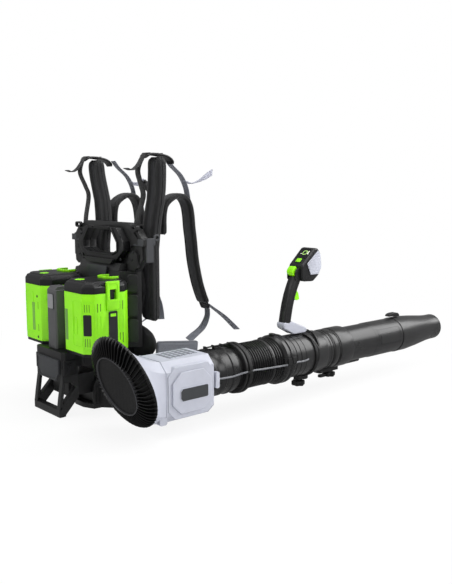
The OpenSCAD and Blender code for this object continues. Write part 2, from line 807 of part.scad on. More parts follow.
module housing_screws() {
    color(steel) for (y = [housing_y0 + 10, housing_y1 - 12],
                      z = [housing_bottom_z + housing_chamfer + 4, housing_top_z - housing_chamfer - 4])
        translate([blower_x - housing_half_w, y, z]) rotate([0, -90, 0]) cylinder(h = 2.5, r = 4);
    slant = atan2(frame_corner_y - frame_rear_y, frame_half_w - frame_corner_x);
    color(steel) for (s = [-1, 1], z = [dock_top_z + 24, frame_waist_z - 30])
        translate([s * (frame_half_w + frame_corner_x) / 2, (frame_rear_y + frame_corner_y) / 2, z])
            rotate([90, 0, 0]) rotate([0, s * slant, 0]) cylinder(h = 3, r = 4);
}

module outlet_collar() {
    y0 = housing_y1;
    strip_z = blower_z + collar_r;
    color(dark_plastic) {
        turned([[duct_r, y0], [collar_r, y0], [collar_r, y0 + 30], [collar_r + 1, y0 + 32],
                [collar_r + 1, y0 + 40],
                [collar_r, y0 + 42], [collar_r, y0 + 62], [collar_r + 1, y0 + 64], [collar_r + 1, y0 + 72],
                [collar_r - 2, y0 + 76], [collar_r - 2, hose_y0 - band_len], [duct_r, hose_y0 - band_len]]);
        box([blower_x - 10, y0 + 14, strip_z - 2], [blower_x + 10, y0 + 26, strip_z + 9]);
        box([blower_x - 8, y0 + 26 - eps, strip_z + 5], [blower_x + 8, hose_y0 - band_len - 4, strip_z + 9]);
    }
}

// ---- Hose ----
// Ribbed wall between two stations: valleys at the ends, one crest for each rib
function rib_profile(y0, ribs) = concat(
    [[hose_bore_r, y0]],
    [for (i = [0 : ribs - 1]) let (y = y0 + i * rib_pitch)
        each [[hose_valley_r, y], [hose_valley_r, y + rib_pitch * 0.25],
              [hose_r, y + rib_pitch * 0.4], [hose_r, y + rib_pitch * 0.7]]],
    [[hose_valley_r, y0 + ribs * rib_pitch - rib_pitch * 0.15], [hose_valley_r, y0 + ribs * rib_pitch],
     [hose_bore_r, y0 + ribs * rib_pitch]]);

rear_ribs = rear_hose_len / rib_pitch;

module hose_rear_band() {
    y0 = hose_y0 - band_len;
    color(dark_plastic) difference() {
        turned([[duct_r, y0], [collar_r + 5, y0], [band_r, y0 + 8], [band_r, y0 + band_len - 6],
                [band_r - 3, y0 + band_len], [duct_r, y0 + band_len]]);
        cable_hole(y0 - cut, hose_y0 + cut);
    }
}

module hose_rear() {
    color(dark_plastic) turned(rib_profile(hose_y0, rear_ribs));
    color(mid_grey) cable_run(hose_y0, hoop_y0);
}

module hose_hoop() {
    color(dark_plastic) union() {
        turned(rib_profile(hoop_y0, 1));
        box([blower_x + hose_r - 5, hoop_y0, blower_z - 7],
            [cable_x + cable_r + 2, hoop_y0 + hoop_len, blower_z + 7]);
    }
}

module hose_front() {
    color(dark_plastic) turned(rib_profile(hoop_y0 + hoop_len, rear_ribs));
    color(mid_grey) cable_run(hoop_y0 + hoop_len, hose_y1);
}

module hose_front_band() {
    y0 = hose_y1;
    color(dark_plastic) difference() {
        turned([[rear_tube_r, y0], [band_r - 3, y0], [band_r, y0 + 5], [band_r, y0 + front_band_len - 6],
                [cuff_r + 4, y0 + front_band_len], [cuff_r + 4, y0 + front_band_len + 8],
                [cuff_r, y0 + front_band_len + 12],
                [cuff_r, cuff_y1], [rear_tube_r, cuff_y1]]);
        cable_hole(y0 - cut, cable_y1);
    }
}

module cable_rear() {
    color(mid_grey) cable_run(housing_y1 + 3, hose_y0);
}

module cable_front() {
    color(mid_grey) cable_run(hose_y1, cable_y1);
}

// ---- Tube ----
module rear_tube() {
    color(dark_plastic) difference() {
        ring_y(hose_y1, rear_tube_y1, rear_tube_r, tube_bore_r);
        box([blower_x - rack_w / 2 - 2, rack_channel_y0 + 4, blower_z - rear_tube_r - cut],
            [blower_x + rack_w / 2 + 2, rear_tube_y1 + cut, blower_z - tube_bore_r / 2]);
    }
}

module pipe_lock_ring() {
    slot_w = rack_w / 2 + 2;
    color(dark_plastic) {
        difference() {
            turned([[rear_tube_r, ring_y0], [ring_r, ring_y0], [ring_r + 3, ring_y0 + 4],
                    [ring_r + 3, ring_y0 + 20],
                    [ring_r - 1, ring_y0 + 24], [ring_r - 1, ring_y0 + 34], [ring_r + 3, ring_y0 + 38],
                    [ring_r + 3, rear_tube_y1], [rear_tube_r, rear_tube_y1]]);
            box([blower_x - slot_w, ring_y0 - cut, blower_z - ring_r - 5],
                [blower_x + slot_w, rear_tube_y1 + cut, blower_z - 30]);
        }
        difference() {
            box([blower_x - slot_w - 4, rack_channel_y0, blower_z - ring_r - 9],
                [blower_x + slot_w + 4, ring_y0 + 30, blower_z - rear_tube_r + 4]);
            box([blower_x - slot_w, rack_channel_y0 + 4, blower_z - ring_r - 5],
                [blower_x + slot_w, rear_tube_y1 + cut, blower_z]);
            tube_axis(0) cylinder(h = rear_tube_y1, r = rear_tube_r);
        }
        translate([blower_x, lock_y, lock_z - 2]) cylinder(h = 4, r = 12);
    }
}

module pipe_lock_knob() {
    color(plastic) {
        star_knob(blower_x, lock_y, lock_z - 2 - gap, knob_r, 14);
        box([blower_x - 8, lock_y - 44, lock_z - 14], [blower_x + 8, lock_y - knob_r + 5, lock_z - 4]);
    }
}

module main_pipe() {
    step_y = rear_tube_y1 + 120;
    r_front = pipe_r + 1.5;
    color(dark_plastic) {
        union() {
            turned([[pipe_bore_r, pipe_y0], [pipe_r, pipe_y0], [pipe_r, step_y], [r_front, step_y + 6],
                    [r_front, pipe_y1 - 26], [pipe_r - 2.5, pipe_y1 - 26], [pipe_r - 2.5, pipe_y1 + 14],
                    [pipe_bore_r, pipe_y1 + 14]]);
        }
        difference() {
            box([blower_x - rack_w / 2, rack_y0, blower_z - pipe_r - rack_h],
                [blower_x + rack_w / 2, rack_y1, blower_z - pipe_r + 3]);
            tube_axis(0) cylinder(h = pipe_y1, r = pipe_r - 1);
            for (i = [0 : 10]) box([blower_x - rack_w, rear_tube_y1 + 6 + 8 * i,
                                    blower_z - pipe_r - rack_h - cut],
                                   [blower_x + rack_w, rear_tube_y1 + 10 + 8 * i,
                                    blower_z - pipe_r - rack_h + 3]);
        }
    }
}

nozzle_y0 = pipe_y1 - 26 + gap;
nozzle_r = pipe_r + 3;
latch_press = 2;
latch_seat_z = blower_z + nozzle_r - 3.2;
latch_rear_y = pipe_y1 - 46;
latch_front_y = pipe_y1 + 8;

module nozzle() {
    y0 = nozzle_y0;
    skirt_r = pipe_r - 2.5 + gap;
    color(dark_plastic) difference() {
        turned([
            [skirt_r, y0], [nozzle_r, y0], [nozzle_r, y0 + 62], [nozzle_r - 3, y0 + 90],
            [mouth_r + nozzle_wall + 3, nozzle_y1 - 60],
            [mouth_r + nozzle_wall, nozzle_y1 - 40], [mouth_r + nozzle_wall, nozzle_y1], [mouth_r, nozzle_y1],
            [mouth_r, nozzle_y1 - 40], [nozzle_r - 3 - nozzle_wall, y0 + 88],
            [nozzle_r - nozzle_wall - 1, y0 + 60],
            [skirt_r, y0 + 46]]);
        box([blower_x - 10 - gap, y0 - cut, latch_seat_z],
            [blower_x + 10 + gap, latch_front_y + gap, blower_z + nozzle_r + cut]);
    }
}

module nozzle_latch() {
    z0 = latch_seat_z + latch_press + gap;
    over_pipe_z = blower_z + pipe_r + 1.5 + latch_press + gap;
    color(plastic) prism_yz(blower_x - 10, blower_x + 10)
        polygon([[latch_rear_y, over_pipe_z], [nozzle_y0 + 1, over_pipe_z], [nozzle_y0 + 16, z0],
                 [latch_front_y, z0], [latch_front_y, z0 + 7], [latch_front_y - 12, z0 + 14],
                 [latch_rear_y + 8, z0 + 14], [latch_rear_y, z0 + 9]]);
}

// ---- Control handle ----
module handle_clamp() {
    color(dark_plastic) difference() {
        union() {
            ring_y(clamp_y0, clamp_y1, clamp_r, clamp_bore_r);
            box([blower_x - 12, knob_y - 10, knob_z], [blower_x + 12, clamp_y1 - 6,
                                                       blower_z - clamp_bore_r + 4]);
            box([blower_x - 15, clamp_y0 + 2, blower_z + clamp_bore_r - 4],
                [blower_x + 15, clamp_y1 - 2, handle_z]);
        }
        tube_axis(clamp_y0 - 60) cylinder(h = 140, r = clamp_bore_r);
    }
}

module handle_knob() {
    color(plastic) star_knob(blower_x, knob_y, knob_z - gap, knob_r - 3, 17);
}

// Centre line of the grip, bottom to top, measured from the clamp's middle
grip_path = [[handle_y - 82.5, handle_z + 31], [handle_y - 78, handle_z + 56], [handle_y - 72, handle_z + 84],
             [handle_y - 64, handle_z + 110], [handle_y - 54, handle_z + 134],
             [handle_y - 42, handle_z + 158]];
grip_end = grip_path[5];

module handle_bracket() {
    p = grip_path[0];
    top_z = p[1] + 3;
    color(pale_grey) prism_yz(blower_x - 15, blower_x + 15)
        polygon([[p[0] - 16, top_z], [p[0] - 16, top_z - 17], [handle_y - 14, handle_z],
                 [clamp_y1 - 2, handle_z],
                 [clamp_y1, handle_z + 6], [handle_y - 30, handle_z + 21], [p[0] + 17, top_z]]);
}

trigger_pivot = [grip_path[4][0] + 6, grip_path[4][1] - 4];

module trigger_profile() {
    t = trigger_pivot;
    polygon([[t[0] - 5, t[1]], [t[0] + 5, t[1]], [t[0] + 17, t[1] - 17], [t[0] + 21, t[1] - 34],
             [t[0] + 12, t[1] - 37], [t[0] - 3, t[1] - 30], [t[0] - 6, t[1] - 14]]);
}

module grip() {
    t = trigger_pivot;
    color(dark_plastic) difference() {
        swept_pad(grip_path, blower_x, grip_w, grip_d, 16, 1, 1);
        box([blower_x - trigger_w / 2 - gap, t[0] - 12, t[1] - 44],
            [blower_x + trigger_w / 2 + gap, t[0] + 40, t[1] + 7]);
    }
}

module throttle_trigger() {
    t = trigger_pivot;
    color(lime) union() {
        prism_yz(blower_x - trigger_w / 2, blower_x + trigger_w / 2) trigger_profile();
        translate([blower_x - trigger_w / 2, t[0], t[1]]) rotate([0, 90, 0]) cylinder(h = trigger_w, r = 5);
    }
}

// Side outline of the control head, starting at the foot of its sloping face
head_y = grip_end[0];
head_z = grip_end[1] - 1;
face_low = [head_y + 8, head_z + 46];
face_high = [head_y + 56, head_z + 90];
face_slope = atan2(face_high[1] - face_low[1], face_high[0] - face_low[0]);
cruise_pivot = [head_y - 8, head_z + 13];

module head_outline() {
    polygon([[head_y - 14, head_z], [head_y + 4, head_z], [head_y + 12, head_z - 6],
             [head_y + 52, head_z - 8],
             [head_y + 75, head_z + 9], [head_y + 87, head_z + 29], [head_y + 82, head_z + 74],
             [head_y + 70, head_z + 90], face_high, face_low, [head_y + 2, head_z + 40],
             [head_y - 14, head_z + 34]]);
}

// Place on the head's sloping face: X across, Y up the slope, Z out of the face
module on_face(along, out) {
    translate([blower_x, face_low[0], face_low[1]]) rotate([face_slope, 0, 0])
        translate([0, along, out]) children();
}

module head_shell() {
    w = head_half_w;
    color(plastic) difference() {
        prism_yz(blower_x - w, blower_x + w) head_outline();
        prism_yz(blower_x - w + 4, blower_x + w - 4) polygon([[head_y + 26, head_z + 4],
            [head_y + 54, head_z + 4],
            [head_y + 78, head_z + 30], [head_y + 74, head_z + 70], [head_y + 62, head_z + 78],
            [head_y + 26, head_z + 44]]);
        on_face(12, -8) translate([-9 - gap, -7 - gap, 0]) cube([18 + 2 * gap, 14 + 2 * gap, 20]);
        box([blower_x - 13 - gap, head_y - 14 - cut, head_z + 4],
            [blower_x + 13 + gap, head_y + 3, head_z + 44]);
    }
}

module head_covers() {
    color(pale_grey) for (s = [-1, 1]) translate([blower_x + s * (head_half_w + 1.5), 0, 0])
        prism_yz(-1.5, 1.5) polygon([[head_y + 22, head_z + 46], [head_y + 68, head_z + 82],
                                     [head_y + 78, head_z + 70],
                                     [head_y + 83, head_z + 32], [head_y + 71, head_z + 12],
                                     [head_y + 38, head_z + 12]]);
}

module display() {
    color("black") on_face(42, 0) translate([-20, -17, 0]) cube([40, 34, 1.2]);
}

module power_button() {
    color(lime) on_face(12, -5) translate([-9, -7, 0]) cube([18, 14, 7]);
}

module cruise_lever() {
    c = cruise_pivot;
    color(lime) {
        translate([blower_x - 13, c[0], c[1]]) rotate([0, 90, 0]) cylinder(h = 26, r = 7);
        prism_yz(blower_x - 12, blower_x + 12)
            polygon([[c[0] - 6, c[1]], [c[0] + 6, c[1]], [c[0] + 5, c[1] + 22], [c[0] - 4, c[1] + 24],
                     [c[0] - 14, c[1] + 12]]);
    }
}

// ---- Batteries ----
module battery_plan(inset) {
    polygon(cut_rect(battery_inset + inset, battery_y0 + inset, battery_x1 - inset, battery_y1 - inset,
                     battery_chamfer - inset / 2));
}

// The hollow behind the latch, deep enough for its travel
pocket_x = battery_x1 + 4 - latch_t - latch_travel - gap;
shell_inset = battery_x1 - pocket_x + battery_wall - 1.3;

module latch_pocket() {
    box([pocket_x, latch_mid_y - latch_w / 2 - gap, latch_z0 - gap],
        [battery_x1 + cut, latch_mid_y + latch_w / 2 + gap, latch_z1 + gap]);
}

module battery_shell() {
    label_y = battery_mid_y + 8;
    color(lime) difference() {
        prism_xy(shell_z0, cap_z0) battery_plan(0);
        prism_xy(shell_z0 + battery_wall, cap_z0 + cut) battery_plan(shell_inset);
        latch_pocket();
    }
    color(dark_plastic) box([battery_x1, label_y - 13, shell_z0 + 4],
                            [battery_x1 + 1.5, label_y + 13, latch_z0 - 4]);
    color(lime) prism_xy(battery_z1, battery_z1 + 6) difference() {
        polygon(cut_rect(battery_mid_x - 32, battery_y1 - 52, battery_mid_x + 32, battery_y1 - 8, 12));
        polygon(cut_rect(battery_mid_x - 24, battery_y1 - 44, battery_mid_x + 24, battery_y1, 8));
    }
}

module battery_caps() {
    color(dark_plastic) {
        difference() {
            prism_xy(battery_z0, shell_z0) battery_plan(1.5);
            box([terminal_x - 24, battery_mid_y - 14, battery_z0 - cut],
                [terminal_x + 24, battery_mid_y + 14, shell_z0 + cut]);
        }
        difference() {
            union() {
                prism_xy(cap_z0, battery_z1 - 8) battery_plan(0);
                prism_xy(battery_z1 - 8, battery_z1) battery_plan(7);
            }
            prism_xy(cap_z0 - cut, battery_z1 - 4) battery_plan(shell_inset + 4);
            latch_pocket();
        }
    }
}

module battery_cells() {
    z0 = shell_z0 + battery_wall;
    color(steel) for (i = [0 : 3], j = [0 : 3], k = [0 : 1])
        if (!((i == 0 || i == 3) && j == 3))
            translate([battery_mid_x + (i - 1.5) * cell_pitch, battery_mid_y + (j - 1.5) * cell_pitch,
                       z0 + k * (cell_len + gap)])
                cylinder(h = cell_len, d = cell_d, $fn = 36);
}

module battery_latch() {
    x1 = battery_x1 + 4;
    color(lime) difference() {
        box([x1 - latch_t, latch_mid_y - latch_w / 2, latch_z0],
            [x1, latch_mid_y + latch_w / 2, latch_z1]);
        box([x1 - latch_t - cut, latch_mid_y - 10, latch_z0 + 26],
            [x1 + cut, latch_mid_y + 10, latch_z0 + 54]);
    }
}

module battery_left_shell() { mirror([1, 0, 0]) battery_shell(); }
module battery_left_caps() { mirror([1, 0, 0]) battery_caps(); }
module battery_left_cells() { mirror([1, 0, 0]) battery_cells(); }
module battery_left_latch() { mirror([1, 0, 0]) battery_latch(); }
module battery_right_shell() { battery_shell(); }
module battery_right_caps() { battery_caps(); }
module battery_right_cells() { battery_cells(); }
module battery_right_latch() { battery_latch(); }

// ---- Harness ----
pad_y = frame_front_y + gap;

// Crowned cushion between two heights: drawn in at its ends, flat against the frame
module cushion(x, half_w, y0, t, z0, z1) {
    rows = 8;
    n = 12;
    path = [for (i = [0 : rows]) let (s = i / rows)
        [y0 + t / 2 * pow(sin(15 + 150 * s), 0.4), z0 + (z1 - z0) * s]];
    last = rows;
    points = [for (i = [0 : last])
        let (f = pow(sin(15 + 150 * i / last), 0.3), sec = pad_section(2 * half_w * f, t * pow(f, 1.4), n))
        for (q = sec) [x + q[0], max(y0, path[i][0] + q[1]), path[i][1]]];
    sides = [for (i = [0 : last - 1]) for (j = [0 : n - 1]) let (a = i * n + j, b = i * n + (j + 1) % n)
        each [[a, b + n, b], [a, a + n, b + n]]];
    start_cap = [for (j = [1 : n - 2]) [0, j, j + 1]];
    end_cap = [for (j = [1 : n - 2]) [last * n, last * n + j + 1, last * n + j]];
    polyhedron(points, concat(sides, start_cap, end_cap));
}

lumbar_z0 = 128;
lumbar_z1 = 240;
lumbar_t = 52;
lumbar_half_w = upright_x + 28;
cushion_z0 = lumbar_z1 + 6;
cushion_z1 = 430;
cushion_t = 27;
cushion_x0 = 7;
cushion_x1 = upright_x - upright_draw + 16;

module back_pad() {
    color(fabric) both_sides()
        cushion((cushion_x0 + cushion_x1) / 2, (cushion_x1 - cushion_x0) / 2, pad_y, cushion_t,
                cushion_z0, cushion_z1);
}

module lumbar_pad() {
    color(fabric) cushion(0, lumbar_half_w, pad_y, lumbar_t, lumbar_z0, lumbar_z1);
}

buckle_z = 706;
upright_back = pad_y + cushion_t + gap;
function upright_lean(z) = lookup(z, [[450, 0], [520, 8], [583, 12], [618, 10], [653, 7], [688, 5]]);
function eased(s) = s * s * (3 - 2 * s);
function upright_centre(z) = upright_x - upright_draw * (1 - eased(max(0, min(1, (z - 500) / 190))));
upright_step = (buckle_z - cushion_z0) / 14;
upright_path = [for (z = [cushion_z0 : upright_step : buckle_z + eps])
                [upright_back + upright_t / 2 + upright_lean(z), z]];

module upright_pads() {
    color(fabric) both_sides()
        swept_pad(upright_path, [for (p = upright_path) upright_centre(p[1])], upright_w, upright_t);
}

// The shoulder strap leaves the frame between the upright pads, arches over the shoulder and hangs down
anchor_t = 4;
strap_root_y = upright_back + upright_t + upright_lean(buckle_z - 123) + anchor_t + strap_t / 2;
strap_end = [314, 277];
strap_path = [[strap_root_y, 488], [strap_root_y, 512], [strap_root_y, 530], [strap_root_y + 2, 552],
              [strap_root_y + 9, 573], [186, 590], [212, 599], [235, 592], [249, 573], [256, 545],
              [260, 505], [265, 470], [270, 425], [276, 390], [287, 345], [300, 308], strap_end];

belt_x = 146;
belt_h = 46;
belt_y0 = 122;
belt_len = 150;
function belt_mid(y) = 166 - 0.12 * (y - belt_y0);
function belt_top(y) = belt_mid(y) + belt_h / 2;

module shoulder_straps() {
    color(fabric) both_sides() swept_pad(strap_path, strap_x, strap_w, strap_t);
}

buckle_y0 = 84;
buckle_y1 = 170;
end_buckle_y1 = strap_end[0] + 9;
web_x = strap_x + 11;
chest_buckle = [283, 640];
top_buckle_half_w = 20;
end_buckle_half_w = 18;
anchor_z0 = frame_top_z - 29;
anchor_z1 = anchor_z0 + 21;
anchor_x1 = upright_x - upright_draw - upright_w / 2 - 0.5;
anchor_y1 = strap_root_y - strap_t / 2 - gap;

module strap_buckles() {
    color(dark_plastic) both_sides() {
        box([upright_x - top_buckle_half_w, buckle_y0, buckle_z + gap],
            [upright_x + top_buckle_half_w, buckle_y1, buckle_z + 8]);
        box([upright_x - 16, buckle_y1 - 8, buckle_z - 18],
            [upright_x + 16, buckle_y1, buckle_z + gap + eps]);
        box([strap_x - end_buckle_half_w, end_buckle_y1 - 14, strap_end[1] - 15],
            [strap_x + end_buckle_half_w, end_buckle_y1, strap_end[1] - 1 - gap]);
        box([anchor_x1 - 15, frame_front_y, anchor_z0], [anchor_x1, anchor_y1, anchor_z1]);
        box([anchor_x1 - 15, anchor_y1 - anchor_t + 1, anchor_z0], [strap_x + 6, anchor_y1, anchor_z1]);
    }
    color(dark_plastic) prism_yz(-web_x - 14, -web_x + 14)
        translate(chest_buckle) rotate(-55) translate([0, -6]) square([44, 12]);
}

// Woven straps: load lifters with their tails, lower straps with theirs, and the rear straps
lifter_path = [[buckle_y1 + webbing_t / 2, buckle_z - 4], [188, 682], [220, 655], [239, 622], [247, 587]];
lower_path = [[end_buckle_y1 - 5, strap_end[1] - 15], [317, 236], [298, 206], [262, 184],
              [246, belt_top(246)]];
lower_tail = [[end_buckle_y1 + webbing_t / 2, strap_end[1] - 3], [360, 250], [396, 224], [446, 180]];
hanging_tail = [lower_tail[0], [332, 250], [335, 224], [338, 190]];
rear_path = [[buckle_y0 - webbing_t / 2, buckle_z + 8], [70, 690], [64, 663], [78, 626], [86, 596], [72, 540],
             [66, frame_corner_z]];
rear_slant = 25 / (buckle_z - frame_corner_z);
rear_tail = [[73, 696], [58, 678], [40, 668], [22, 672]];
lifter_tail = [[229, 640], [260, 634], [296, 645], [339, 666]];
chest_tail = [[229, 640], [255, 634], chest_buckle];

module webbing() {
    color(web_grey) {
        both_sides() {
            ribbon(lifter_path, web_x, webbing_w, webbing_t);
            ribbon(lower_path, web_x, webbing_w, webbing_t);
        }
        ribbon(lower_tail, strap_x + 2, webbing_w, webbing_t);
        ribbon(hanging_tail, -strap_x - 2, webbing_w, webbing_t);
        ribbon(lifter_tail, web_x, webbing_w, webbing_t);
        ribbon(chest_tail, -web_x, webbing_w, webbing_t);
    }
    color(fabric) both_sides() {
        multmatrix([[1, 0, rear_slant, -rear_slant * buckle_z], [0, 1, 0, 0], [0, 0, 1, 0], [0, 0, 0, 1]])
            ribbon(rear_path, upright_x, webbing_w, webbing_t);
        ribbon(rear_tail, upright_x, webbing_w, webbing_t);
    }
}

module hip_belt() {
    color(web_grey) both_sides()
        swept_pad([for (y = [belt_y0 : belt_len / 6 : belt_y0 + belt_len + eps]) [y, belt_mid(y)]], belt_x,
                  12, belt_h);
}

back_frame();
carry_handle();
base_column();
foot_loop();
badge_plates();
dock_post();
battery_dock();
dock_terminals();
controller_box();
controller_board();
blower_bracket();
intake_grille();
intake_cone();
motor_housing();
side_cover();
fan_duct();
motor_stator();
motor_bearings();
outlet_collar();
housing_screws();
fan_rotor();
motor_shaft();
hose_rear_band();
hose_rear();
hose_hoop();
hose_front();
hose_front_band();
rear_tube();
cable_rear();
cable_front();
handle_clamp();
handle_bracket();
handle_knob();
grip();
head_shell();
head_covers();
display();
power_button();
cruise_lever();
throttle_trigger();
main_pipe();
pipe_lock_ring();
pipe_lock_knob();
nozzle();
nozzle_latch();
battery_left_shell();
battery_left_caps();
battery_left_cells();
battery_left_latch();
battery_right_shell();
battery_right_caps();
battery_right_cells();
battery_right_latch();
back_pad();
lumbar_pad();
upright_pads();
shoulder_straps();
webbing();
strap_buckles();
hip_belt();
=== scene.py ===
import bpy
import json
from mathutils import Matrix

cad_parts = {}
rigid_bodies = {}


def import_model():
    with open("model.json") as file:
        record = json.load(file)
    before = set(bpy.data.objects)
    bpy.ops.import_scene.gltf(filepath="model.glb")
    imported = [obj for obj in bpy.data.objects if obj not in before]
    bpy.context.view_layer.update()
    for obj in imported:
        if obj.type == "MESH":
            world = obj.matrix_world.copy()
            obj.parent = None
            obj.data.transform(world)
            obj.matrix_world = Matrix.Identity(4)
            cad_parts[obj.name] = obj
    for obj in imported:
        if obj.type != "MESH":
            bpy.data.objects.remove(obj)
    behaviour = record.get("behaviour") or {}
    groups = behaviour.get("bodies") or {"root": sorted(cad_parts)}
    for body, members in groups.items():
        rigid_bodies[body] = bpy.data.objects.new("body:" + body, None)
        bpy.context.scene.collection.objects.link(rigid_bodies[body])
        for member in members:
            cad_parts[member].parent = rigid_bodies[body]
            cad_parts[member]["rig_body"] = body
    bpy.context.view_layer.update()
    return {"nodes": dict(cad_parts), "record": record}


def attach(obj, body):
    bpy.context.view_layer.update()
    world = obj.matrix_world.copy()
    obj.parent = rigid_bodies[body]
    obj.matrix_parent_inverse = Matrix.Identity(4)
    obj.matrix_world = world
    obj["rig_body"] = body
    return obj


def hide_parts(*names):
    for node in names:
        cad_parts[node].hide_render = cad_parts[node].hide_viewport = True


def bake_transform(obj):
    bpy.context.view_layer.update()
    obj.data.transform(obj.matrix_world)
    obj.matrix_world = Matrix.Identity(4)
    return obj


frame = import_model()

import json
import math

import bmesh
import bpy
import numpy as np
from mathutils import Vector

# ---- Camera, light and floor ----
# The machine stands on a white floor under soft studio light: broad lamps from the left, the
# right, the front of the tube and above, with a plain bright surround.


def placed(name, data):
    """New object of some data, linked into the scene."""
    thing = bpy.data.objects.new(name, data)
    bpy.context.scene.collection.objects.link(thing)
    return thing


focal_length, picture_height = 740, 584  # in pixels
heading, tilt = math.radians(49), math.radians(8)
look = Vector((-math.sin(heading) * math.cos(tilt), math.cos(heading) * math.cos(tilt), -math.sin(tilt)))
camera = placed("camera", bpy.data.cameras.new("camera"))
bpy.context.scene.camera = camera
camera.data.sensor_width = 36
camera.data.lens = 36 * focal_length / picture_height
camera.location = (1.8353, -1.0832, 0.620)
camera.rotation_euler = look.to_track_quat("-Z", "Y").to_euler()
camera.data.clip_start, camera.data.clip_end = 0.05, 50

# Each lamp is a square: its place, the point it lights, its side in metres and its power in watts.
for name, place, aim, size, power in (("lamp_left", (-0.6, -2.8, 1.9), (0.1, 0.1, 0.3), 1.5, 30),
                                      ("lamp_right", (3.2, 0.9, 1.8), (0.3, 0.4, 0.2), 1.5, 24),
                                      ("lamp_front", (1.31, 2.56, 1.92), (0.33, 0.8, 0.12), 2.2, 70),
                                      ("lamp_top", (0.3, 0.1, 3.0), (0.2, 0.3, 0.2), 2.0, 46)):
    light = bpy.data.lights.new(name, "AREA")
    light.size, light.energy = size, power
    lamp = placed(name, light)
    lamp.location = place
    lamp.rotation_euler = (Vector(aim) - Vector(place)).to_track_quat("-Z", "Y").to_euler()


def given_to(tree, socket, value):
    """A socket takes a plain value, or a link where the value is another node's socket."""
    if isinstance(value, bpy.types.NodeSocket):
        tree.links.new(value, socket)
    else:
        socket.default_value = value


def shader_node(tree, kind, **values):
    """New node. Each value goes to the input of its name, in which _ stands for a space."""
    new = tree.nodes.new("ShaderNode" + kind)
    for name, value in values.items():
        given_to(tree, new.inputs[name.replace("_", " ")], value)
    return new


def worked(tree, operation, *values):
    """Output of a math node. Each value is a socket or a number."""
    new = tree.nodes.new("ShaderNodeMath")
    new.operation = operation
    for socket, value in zip(new.inputs, values):
        given_to(tree, socket, value)
    return new.outputs[0]


def mixed(tree, share, first, second):
    """Mix shader between two shaders, by a share that is a socket."""
    mix = tree.nodes.new("ShaderNodeMixShader")
    for socket, value in zip(mix.inputs, (share, first, second)):
        tree.links.new(value, socket)
    return mix.outputs[0]


def seen_rays(tree):
    """Two shares of a ray: whether it mirrors, and whether the camera sees it, straight or through glass."""
    rays = tree.nodes.new("ShaderNodeLightPath").outputs
    return rays["Is Glossy Ray"], worked(tree, "MAXIMUM", rays["Is Camera Ray"], rays["Is Transmission Ray"])


world = bpy.data.worlds.new("studio")
bpy.context.scene.world = world
world.use_nodes = True
sky = world.node_tree
sky.nodes.clear()
lighting, mirrored, backdrop = (shader_node(sky, "Background", Color=(1, 1, 1, 1),
                                            Strength=strength).outputs[0] for strength in (0.42, 0.30, 1.0))
glossy, straight = seen_rays(sky)
shown = mixed(sky, straight, mixed(sky, glossy, lighting, mirrored), backdrop)
shader_node(sky, "OutputWorld", Surface=shown)

floor_half = 30
floor_mesh = bpy.data.meshes.new("floor")
floor_mesh.from_pydata([(x * floor_half, y * floor_half, 0)
                        for x, y in ((-1, -1), (1, -1), (1, 1), (-1, 1))], [], [(0, 1, 2, 3)])
floor = placed("floor", floor_mesh)
floor_paint = bpy.data.materials.new("floor_paint")
floor_paint.use_nodes = True
ground = floor_paint.node_tree
floor_shader = ground.nodes["Principled BSDF"]
for name, value in (("Base Color", (0.93, 0.93, 0.935, 1)), ("Roughness", 0.9), ("Specular IOR Level", 0.1)):
    floor_shader.inputs[name].default_value = value
# Away from the machine the floor fades into the white backdrop.
away = ground.nodes.new("ShaderNodeVectorMath")
away.operation = "DISTANCE"
away.inputs[1].default_value = (0.15, 0.1, 0)
ground.links.new(shader_node(ground, "TexCoord").outputs["Object"], away.inputs[0])
fade = shader_node(ground, "MapRange", Value=away.outputs["Value"])
fade.interpolation_type = "SMOOTHSTEP"
fade.inputs["From Min"].default_value, fade.inputs["From Max"].default_value = 0.5, 1.3
fade.inputs["To Min"].default_value = 0.88
white, dim = (shader_node(ground, "Emission", Strength=strength).outputs[0] for strength in (1.0, 0.30))
glossy, straight = seen_rays(ground)
shown = mixed(ground, worked(ground, "MULTIPLY", straight, fade.outputs["Result"]),
              mixed(ground, glossy, floor_shader.outputs[0], dim), white)
ground.links.new(shown, ground.nodes["Material Output"].inputs[0])
floor_mesh.materials.append(floor_paint)

bpy.context.scene.view_settings.view_transform = "Standard"

# ---- Pack frame and carry handle ----
# The back frame is one black nylon moulding with slanted sides. The carry handle is a second
# moulding, screwed on round the hand opening. Both have the fine grain of an eroded mould.


def shader_group(name, given, made):
    """New shader node group with its sockets: the group, what it is given and what it has to make."""
    group = bpy.data.node_groups.new(name, "ShaderNodeTree")
    for way, sockets in (("INPUT", given), ("OUTPUT", made)):
        for socket, value in sockets.items():
            kind = "NodeSocketFloat" if isinstance(value, float) else "NodeSocketColor"
            group.interface.new_socket(name=socket, in_out=way, socket_type=kind).default_value = value
    return group, group.nodes.new("NodeGroupInput").outputs, group.nodes.new("NodeGroupOutput").inputs


